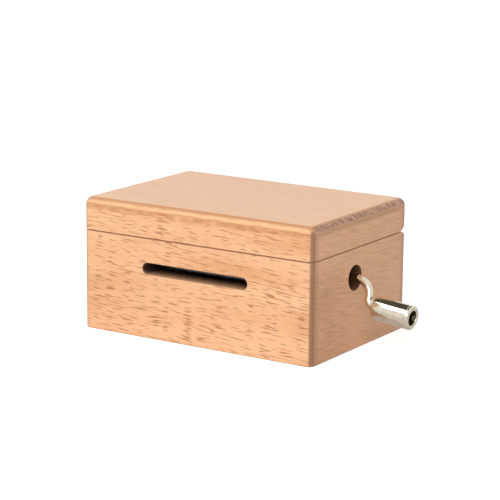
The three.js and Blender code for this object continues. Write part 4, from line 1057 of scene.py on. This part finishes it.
    def mounting_holes(self) -> list[Shell]:
        """The cutters of the four counterbores in the underside.

        Returns:
            One cutter for each hole.
        """
        bottom, top = -self.overrun, self.floor + self.overrun
        profile = np.array([
            [bottom, 0], [bottom, self.bore_radius], [self.bore_depth, self.bore_radius],
            [self.bore_depth, self.shank_radius], [top, self.shank_radius], [top, 0],
        ])
        shells = []
        for index in range(1, 5):
            centre = sum(node_box(f"mounting_screw_{index}")) / 2 * [1, 1, 0]
            shells.append(Shell.through(lathe(profile, centre, np.array([0, 0, 1]), self.bed_sides)))
        return shells

    def build(self) -> list[bpy.types.Object]:
        """Make the body and the lid."""
        return [self.body(), self.lid()]


@dataclass
class Crank:
    """The bent wire crank, its turned handle, and the rivet that keeps it on."""

    nickel: bpy.types.Material
    # Darker steel for the rivet deep in the recess: painted shade
    shaded_steel: bpy.types.Material
    axis_place: Pair = (-4.0, 25.6)
    rest_angle: float = -18.0
    wire_radius: float = 1.4
    wire_start: float = 31.8
    wire_end: float = 0.2
    bend_start: float = 48.4
    inner_bend: float = 5.8
    arm_straight: float = 0.6
    outer_bend: float = 2.6
    droop: float = 6.0
    handle_gap: float = 1.0
    handle_length: float = 14.5
    handle_radius: float = 4.2
    handle_bore: float = 1.75
    handle_edge: float = 0.6
    groove_setback: float = 1.2
    groove_depth: float = 0.15
    recess_radius: float = 2.6
    recess_depth: float = 4.2
    recess_ease: float = 0.25
    rivet_radius: float = 2.1
    rivet_rim: float = 0.4
    crown_radius: float = 1.3
    crown_height: float = 2.1
    rivet_gap: float = 0.3
    bend_steps: int = 16
    wire_sides: int = 40
    sides: int = 48
    edge_steps: int = 6
    ease_steps: int = 4
    dome_steps: int = 10
    round_angle: float = 50.0
    handle_angle: float = 40.0

    def __post_init__(self) -> None:
        """Work out the leg that carries the handle, in the crank's own plane."""
        turn, droop = np.radians([90 - self.droop, self.droop])
        self.turn = turn
        self.tilt = np.radians(self.rest_angle)
        centre = [self.bend_start + self.inner_bend + self.outer_bend, -self.inner_bend - self.arm_straight]
        self.outer_centre = np.array(centre)
        self.leg_start = self.outer_centre - self.outer_bend * np.array([np.cos(turn), np.sin(turn)])
        self.leg_way = np.array([np.cos(droop), -np.sin(droop)])
        self.rivet_seat = self.handle_gap + self.handle_length - self.recess_depth

    def in_space(self, flat: np.ndarray) -> np.ndarray:
        """Place points of the crank's plane in space.

        The first number runs along the shaft. The second is turned about the shaft by the rest angle.

        Args:
            flat: Array whose last axis has two numbers.

        Returns:
            Array whose last axis has three.
        """
        depth = self.axis_place[0] - np.sin(self.tilt) * flat[..., 1]
        height = self.axis_place[1] + np.cos(self.tilt) * flat[..., 1]
        return np.stack([flat[..., 0], depth, height], axis=-1)

    def leg_frame(self) -> tuple[np.ndarray, np.ndarray]:
        """Start and direction of the leg in space."""
        start = self.in_space(self.leg_start)
        return start, self.in_space(self.leg_start + self.leg_way) - start

    def wire(self) -> bpy.types.Object:
        """The wire: a circle carried along straights and bends that all lie in one plane.

        At each station the circle's points are the centre, plus the radius times the cosine on the normal in
        the plane, plus the radius times the sine on the direction square to the plane.

        Returns:
            The dressed piece.
        """
        inner = arc(self.inner_bend, np.pi / 2, 0, self.bend_steps) + [self.bend_start, -self.inner_bend]
        outer = arc(self.outer_bend, np.pi, np.pi + self.turn, self.bend_steps) + self.outer_centre
        end = self.leg_start + self.leg_way * (self.rivet_seat + self.wire_end)
        line = self.in_space(np.concatenate([[[self.wire_start, 0.0]], inner, outer, [end]]))
        steps = np.diff(line, axis=0)
        steps /= np.linalg.norm(steps, axis=1)[:, None]
        ahead = np.concatenate([steps[:1], steps[:-1] + steps[1:], steps[-1:]])
        ahead /= np.linalg.norm(ahead, axis=1)[:, None]
        across = np.array([0.0, np.cos(self.tilt), np.sin(self.tilt)])
        normal = np.cross(ahead, across)
        turns = np.linspace(0, 2 * np.pi, self.wire_sides, endpoint=False)
        rings = (
            line[:, None, :]
            + self.wire_radius * np.cos(turns)[None, :, None] * normal[:, None, :]
            + self.wire_radius * np.sin(turns)[None, :, None] * across[None, None, :]
        )
        piece = mesh_object("crank_wire_bent", Shell.through(rings), self.nickel)
        return dress(piece, "crank_wire", smooth_angle=self.round_angle)

    def handle(self) -> bpy.types.Object:
        """The handle, turned about the leg: rounded ends, a groove near its outer end and a deep recess.

        Returns:
            The dressed piece.
        """
        end, edge, radius = self.handle_length, self.handle_edge, self.handle_radius
        ease, depth = self.recess_ease, self.groove_depth
        groove, floor = end - self.groove_setback, end - self.recess_depth
        profile = np.concatenate([
            [[0, self.handle_bore]],
            arc(edge, np.pi, np.pi / 2, self.edge_steps) + [edge, radius - edge],
            [[groove - depth, radius], [groove, radius - depth], [groove + depth, radius]],
            arc(edge, np.pi / 2, 0, self.edge_steps) + [end - edge, radius - edge],
            arc(ease, 0, -np.pi / 2, self.ease_steps) + [end - ease, self.recess_radius + ease],
            [[floor, self.recess_radius], [floor, self.handle_bore]],
        ])
        start, way = self.leg_frame()
        rings = lathe(profile, start + way * self.handle_gap, way, self.sides)
        piece = mesh_object("crank_handle_turned", Shell.through(rings, looped=True), self.nickel)
        return dress(piece, "crank_handle", smooth_angle=self.handle_angle)

    def rivet(self) -> bpy.types.Object:
        """The rivet's head in the recess: a flange, and the wire's end peened to a dome above it.

        Returns:
            The dressed piece.
        """
        low, rim = self.rivet_gap, self.rivet_gap + self.rivet_rim
        dome = arc(self.crown_radius, 0, np.pi / 2, self.dome_steps)[:, ::-1]
        profile = np.concatenate([
            [[low, 0], [low, self.rivet_radius], [rim, self.rivet_radius], [rim, self.crown_radius]],
            dome + [rim + self.crown_height - self.crown_radius, 0],
        ])
        start, way = self.leg_frame()
        rings = lathe(profile, start + way * self.rivet_seat, way, self.sides)
        # The rivet's dark finish is painted shade for the recess
        piece = mesh_object("rivet_head_formed", Shell.through(rings), self.shaded_steel)
        return dress(piece, "handle_rivet", smooth_angle=self.round_angle)

    def build(self) -> list[bpy.types.Object]:
        """Make the wire, the handle and the rivet."""
        return [self.wire(), self.handle(), self.rivet()]


class Drive(Enum):
    """The recess that a screwdriver fits, as the turns in degrees of the bars that make it up."""

    SLOTTED = (0.0,)
    CROSSED = (0.0, 90.0)


@dataclass
class Screws:
    """Turned screws whose heads carry a recess, cut as bars across the head's face."""

    finishes: dict[str, bpy.types.Material]
    heads: tuple[tuple[str, str, Drive], ...] = (
        ("comb_screw", "+z", Drive.SLOTTED),
        ("spring_screw", "+z", Drive.CROSSED),
        ("bridge_screw", "+x", Drive.CROSSED),
        ("mounting_screw", "-z", Drive.CROSSED),
        ("hinge_left_body_screw", "+z", Drive.CROSSED),
        ("hinge_right_body_screw", "+z", Drive.CROSSED),
        ("hinge_left_lid_screw", "-z", Drive.CROSSED),
        ("hinge_right_lid_screw", "-z", Drive.CROSSED),
    )
    cross_length: float = 0.6
    slot_length: float = 1.2
    bar_width: float = 0.17
    bar_depth: float = 0.2
    edge: float = 0.05

    def recess(self, node: str, way: str, drive: Drive) -> list[Shell]:
        """The cutters of a recess in the face that looks the given way.

        Args:
            node: The screw's CAD node.
            way: Sign and axis of the head's face, such as "+z".
            drive: Kind of recess. Its sizes are shares of the head's diameter.

        Returns:
            One bar for each turn of the drive.
        """
        low, high = node_box(node)
        axis = "xyz".index(way[1])
        sign = 1 if way[0] == "+" else -1
        flat = "xyz".replace(way[1], "")
        plane = ["xyz".index(letter) for letter in flat]
        head = (high - low)[plane[0]]
        face = high[axis] if sign > 0 else low[axis]
        ends = sorted((face - sign * self.bar_depth * head, face + sign * head))
        length = self.slot_length if drive is Drive.SLOTTED else self.cross_length
        bar = np.array([length, self.bar_width]) * head / 2 * [[-1, -1], [1, -1], [1, 1], [-1, 1]]
        centre = (low + high)[plane] / 2
        shells = []
        for turn in np.radians(drive.value):
            spin = np.array([[np.cos(turn), np.sin(turn)], [-np.sin(turn), np.cos(turn)]])
            shells.append(prism(bar @ spin + centre, *ends, flat))
        return shells

    def build(self) -> list[bpy.types.Object]:
        """Copy each screw, cut its recess and dress it.

        Returns:
            The dressed screws.
        """
        pieces = []
        for prefix, way, drive in self.heads:
            for node in (name for name in frame["nodes"] if name.startswith(prefix)):
                finish = self.finishes[NODE_SLOTS[node]]
                piece = solid_copy(node, f"{node}_turned", finish)
                cut(piece, self.recess(node, way, drive), finish)
                pieces.append(dress(piece, node, self.edge))
        return pieces


@dataclass
class CopiedParts:
    """Castings, sheet metal and turned parts that keep their CAD shape and get eased edges."""

    finishes: dict[str, bpy.types.Material]
    processes: dict[str, str] = field(default_factory=lambda: {
        "zinc_casting": "cast", "comb_steel": "ground", "spring_steel": "pressed", "nickel": "turned",
        "brass": "milled", "rubber": "moulded", "acetal": "moulded",
    })
    edges: dict[str, float] = field(default_factory=lambda: {
        "base_frame": 0.2, "gear_bridge": 0.15, "guide_plate": 0.06, "brake_spring": 0.04,
    })
    usual_edge: float = 0.05

    def build(self) -> list[bpy.types.Object]:
        """Copy each CAD node that no other class has replaced, and dress it in its slot's finish.

        Returns:
            The dressed pieces.
        """
        pieces = []
        for node, shown in frame["nodes"].items():
            if shown.hide_render:
                continue
            slot = NODE_SLOTS[node]
            sheet = node.startswith("hinge") and node.endswith("leaf")
            process, finish = ("pressed", "brass_sheet") if sheet else (self.processes[slot], slot)
            piece = solid_copy(node, f"{node}_{process}", self.finishes[finish])
            pieces.append(dress(piece, node, self.edges.get(node, self.usual_edge)))
        return pieces


@dataclass(frozen=True)
class Panel:
    """A flat rectangle that faces the case: a lamp, a dark card or the floor.

    It has a centre, a direction that its long side runs near, and its short and long sizes. The case's
    middle is the aim, at a height above the origin.
    """

    name: str
    centre: Size
    along: Size
    size: Pair
    aim_height: float = 24.0

    def axes(self) -> tuple[np.ndarray, np.ndarray, np.ndarray]:
        """Directions of the panel.

        Returns:
            Its short side, its long side and the way straight off the case.
        """
        away = np.array(self.centre) - [0, 0, self.aim_height]
        away = away / np.linalg.norm(away)
        long_side = np.array(self.along) - away * np.dot(self.along, away)
        long_side /= np.linalg.norm(long_side)
        return np.cross(long_side, away), long_side, away

    def card(self, material: bpy.types.Material) -> bpy.types.Object:
        """Stage the panel as a card: its centre plus or minus half of each side.

        Args:
            material: The card's finish.

        Returns:
            The staged card.
        """
        short_side, long_side, _ = self.axes()
        signs = np.array([[-1, -1], [1, -1], [1, 1], [-1, 1]]) / 2
        reach = signs[:, :1] * self.size[0] * short_side + signs[:, 1:] * self.size[1] * long_side
        mesh = bpy.data.meshes.new(self.name)
        mesh.from_pydata(((np.array(self.centre) + reach) * MM).tolist(), [], [[0, 1, 2, 3]])
        mesh.materials.append(material)
        card = add_object(self.name, mesh)
        return card

    def lamp(self, power: float) -> None:
        """Light the panel up as a soft lamp.

        Args:
            power: The lamp's power in watts.
        """
        data = bpy.data.lights.new(self.name, "AREA")
        data.shape = "RECTANGLE"
        data.size, data.size_y = spaced(*self.size)
        data.energy = power
        columns = np.stack([*self.axes(), np.array(self.centre) * MM], axis=1)
        add_object(self.name, data).matrix_world = Matrix([*columns.tolist(), [0, 0, 0, 1]])


@dataclass
class Studio:
    """Camera, floor, world and lights: a white sweep, a soft key from the front right and a dark flag.

    The camera was solved from the case's edges in the picture, which is 500 pixels square.
    """

    picture: float = 500.0
    focal_pixels: float = 1976.1
    centre_pixels: Pair = (238.07, 256.43)
    yaw: float = 32.994
    pitch: float = 12.85
    roll: float = 0.463
    offset: Size = (2.541, 2.06, 707.269)
    sensor: float = 36.0
    clip_end: float = 20.0
    paper: str = "#E9E9E9"
    paper_lift: float = 0.6
    sky: Pair = (0.5, 1.0)
    flag_cloth: str = "#57524A"
    sweep: Panel = Panel("floor_sweep", (0, 0, -0.02), (0, 1, 0), (6000, 6000))
    flag: Panel = Panel("flag_back", (-309, 284, 700), (0, 0.93, -0.36), (460, 1080))
    lamps: tuple[tuple[Panel, float], ...] = (
        (Panel("key_softbox", (360, -760, 500), (1, 0, 0), (520, 520)), 3.7),
        (Panel("side_softbox", (-372, -400, 695), (0, 0.88, 0.47), (350, 480)), 1.9),
    )

    def camera(self) -> None:
        """Place the camera: the world turned by yaw about Z, by pitch and by roll, then moved by the offset."""
        yaw, pitch, roll = np.radians([self.yaw, self.pitch, self.roll])
        about_up = np.array([[np.cos(yaw), np.sin(yaw), 0], [-np.sin(yaw), np.cos(yaw), 0], [0, 0, 1]])
        level = np.array([[1.0, 0, 0], [0, 0, -1], [0, 1, 0]])
        tilt = np.array([[1, 0, 0], [0, np.cos(pitch), -np.sin(pitch)], [0, np.sin(pitch), np.cos(pitch)]])
        lean = np.array([[np.cos(roll), -np.sin(roll), 0], [np.sin(roll), np.cos(roll), 0], [0, 0, 1]])
        turned = lean @ tilt @ level @ about_up
        place = np.array([0, 0, self.flag.aim_height]) - turned.T @ np.array(self.offset)
        columns = np.stack([turned[0], -turned[1], -turned[2], place * MM], axis=1)
        data = bpy.data.cameras.new("photo_camera")
        data.sensor_width = self.sensor
        data.lens = self.focal_pixels / self.picture * self.sensor
        data.shift_x = (self.picture / 2 - self.centre_pixels[0]) / self.picture
        data.shift_y = (self.centre_pixels[1] - self.picture / 2) / self.picture
        data.clip_end = self.clip_end
        camera = add_object("photo_camera", data)
        camera.matrix_world = Matrix([*columns.tolist(), [0, 0, 0, 1]])
        bpy.context.scene.camera = camera

    def floor(self) -> None:
        """A white floor that keeps the case's shadow, and adds white where only the camera looks."""
        graph = Graph(bpy.data.materials.new("floor_paper"))
        path = graph.add("LightPath")
        lift = graph.add("MapRange", {0: path["Is Camera Ray"], 3: 0.0, 4: self.paper_lift})
        glow = graph.add("Emission", {"Color": (1, 1, 1, 1), "Strength": lift[0]})
        paper = graph.add("BsdfDiffuse", {"Color": linear(self.paper)})
        both = graph.add("AddShader", [glow[0], paper[0]])
        graph.add("OutputMaterial", [both[0]])
        self.sweep.card(graph.owner)

    def world(self) -> None:
        """White to the camera, to reflections and through glass, and a soft dome for the rest."""
        graph = Graph(bpy.data.worlds.new("studio"))
        path = graph.add("LightPath")
        seen = path["Is Camera Ray"]
        for ray in ("Is Glossy Ray", "Is Transmission Ray"):
            seen = graph.add("Math", [seen, path[ray]], operation="MAXIMUM")[0]
        strength = graph.add("MapRange", {0: seen, 3: self.sky[0], 4: self.sky[1]})
        sky = graph.add("Background", {"Color": (1, 1, 1, 1), "Strength": strength[0]})
        graph.add("OutputWorld", [sky[0]])
        bpy.context.scene.world = graph.owner

    def dark_flag(self) -> None:
        """A dark card that only reflections see, which gives polished metal its dark band."""
        graph = Graph(bpy.data.materials.new("flag_cloth"))
        cloth = graph.add("Emission", {"Color": linear(self.flag_cloth), "Strength": 1.0})
        graph.add("OutputMaterial", [cloth[0]])
        card = self.flag.card(graph.owner)
        card.visible_camera = False
        card.visible_diffuse = False
        card.visible_shadow = False

    def build(self) -> None:
        """Set the studio up."""
        self.camera()
        self.floor()
        self.world()
        self.dark_flag()
        for panel, power in self.lamps:
            panel.lamp(power)
        bpy.context.scene.view_settings.view_transform = "Standard"


def finishes() -> dict[str, bpy.types.Material]:
    """Make the finish of each of the record's material slots, and of the cuts in the case.

    Returns:
        The materials by slot or cut.
    """
    made = {
        "beech": Beech(),
        "beech_routed": RoutedBeech(),
        # The crank hole's walls are dark throughout: painted shade
        "beech_drilled": RoutedBeech("beech_drilled", "#2C1A10", "#6E4A32"),
        # Darker steel for the rivet deep in the handle's recess: painted shade
        "steel_painted_shade": Metal("steel_painted_shade", "#8C8674", "#57513F", 0.28, Marks.CAST, 0.12, 0.01),
        "nickel": Metal("nickel_polished", "#E6DCCB", "#D5C8B2", 0.07, Marks.POLISHED, 0.05, 0.002),
        "zinc_casting": Metal("zinc_cast", "#B4B5B7", "#8E9093", 0.38, Marks.CAST, 0.18, 0.02),
        "comb_steel": Metal("comb_steel_ground", "#C4C6C9", "#9C9EA2", 0.24, Marks.GROUND, 0.14, 0.004),
        "spring_steel": Metal("spring_steel_rolled", "#6E7178", "#4B4E55", 0.3, Marks.ROLLED, 0.12, 0.004),
        "brass": Metal("brass_bright", "#DDB765", "#B98F3E", 0.2, Marks.TURNED, 0.12, 0.004),
        "brass_sheet": Metal("brass_rolled", "#DFBB6C", "#CBA455", 0.24, Marks.ROLLED, 0.06, 0.002),
        "rubber": TwoTone("rubber_moulded", "#3A3837", "#2B2A29", 0.72, Marks.MOULDED_DULL, 0, 0.02, 1.52),
        "acetal": TwoTone("acetal_moulded", "#F1EEE5", "#E4E0D4", 0.38, Marks.MOULDED, 0, 0.01, 1.48),
    }
    return {slot: finish.material() for slot, finish in made.items()}


def main() -> None:
    """Build the sub-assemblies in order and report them."""
    logging.basicConfig(level=logging.INFO, format="%(name)s: %(message)s")
    Studio().build()
    made = finishes()
    assemblies = (
        Case(made["beech"], made["beech_routed"], made["beech_drilled"]),
        Crank(made["nickel"], made["steel_painted_shade"]),
        Screws(made),
        CopiedParts(made),
    )
    for assembly in assemblies:
        pieces = assembly.build()
        log.info("%s: %d pieces", type(assembly).__name__, len(pieces))


if __name__ == "__main__":
    main()
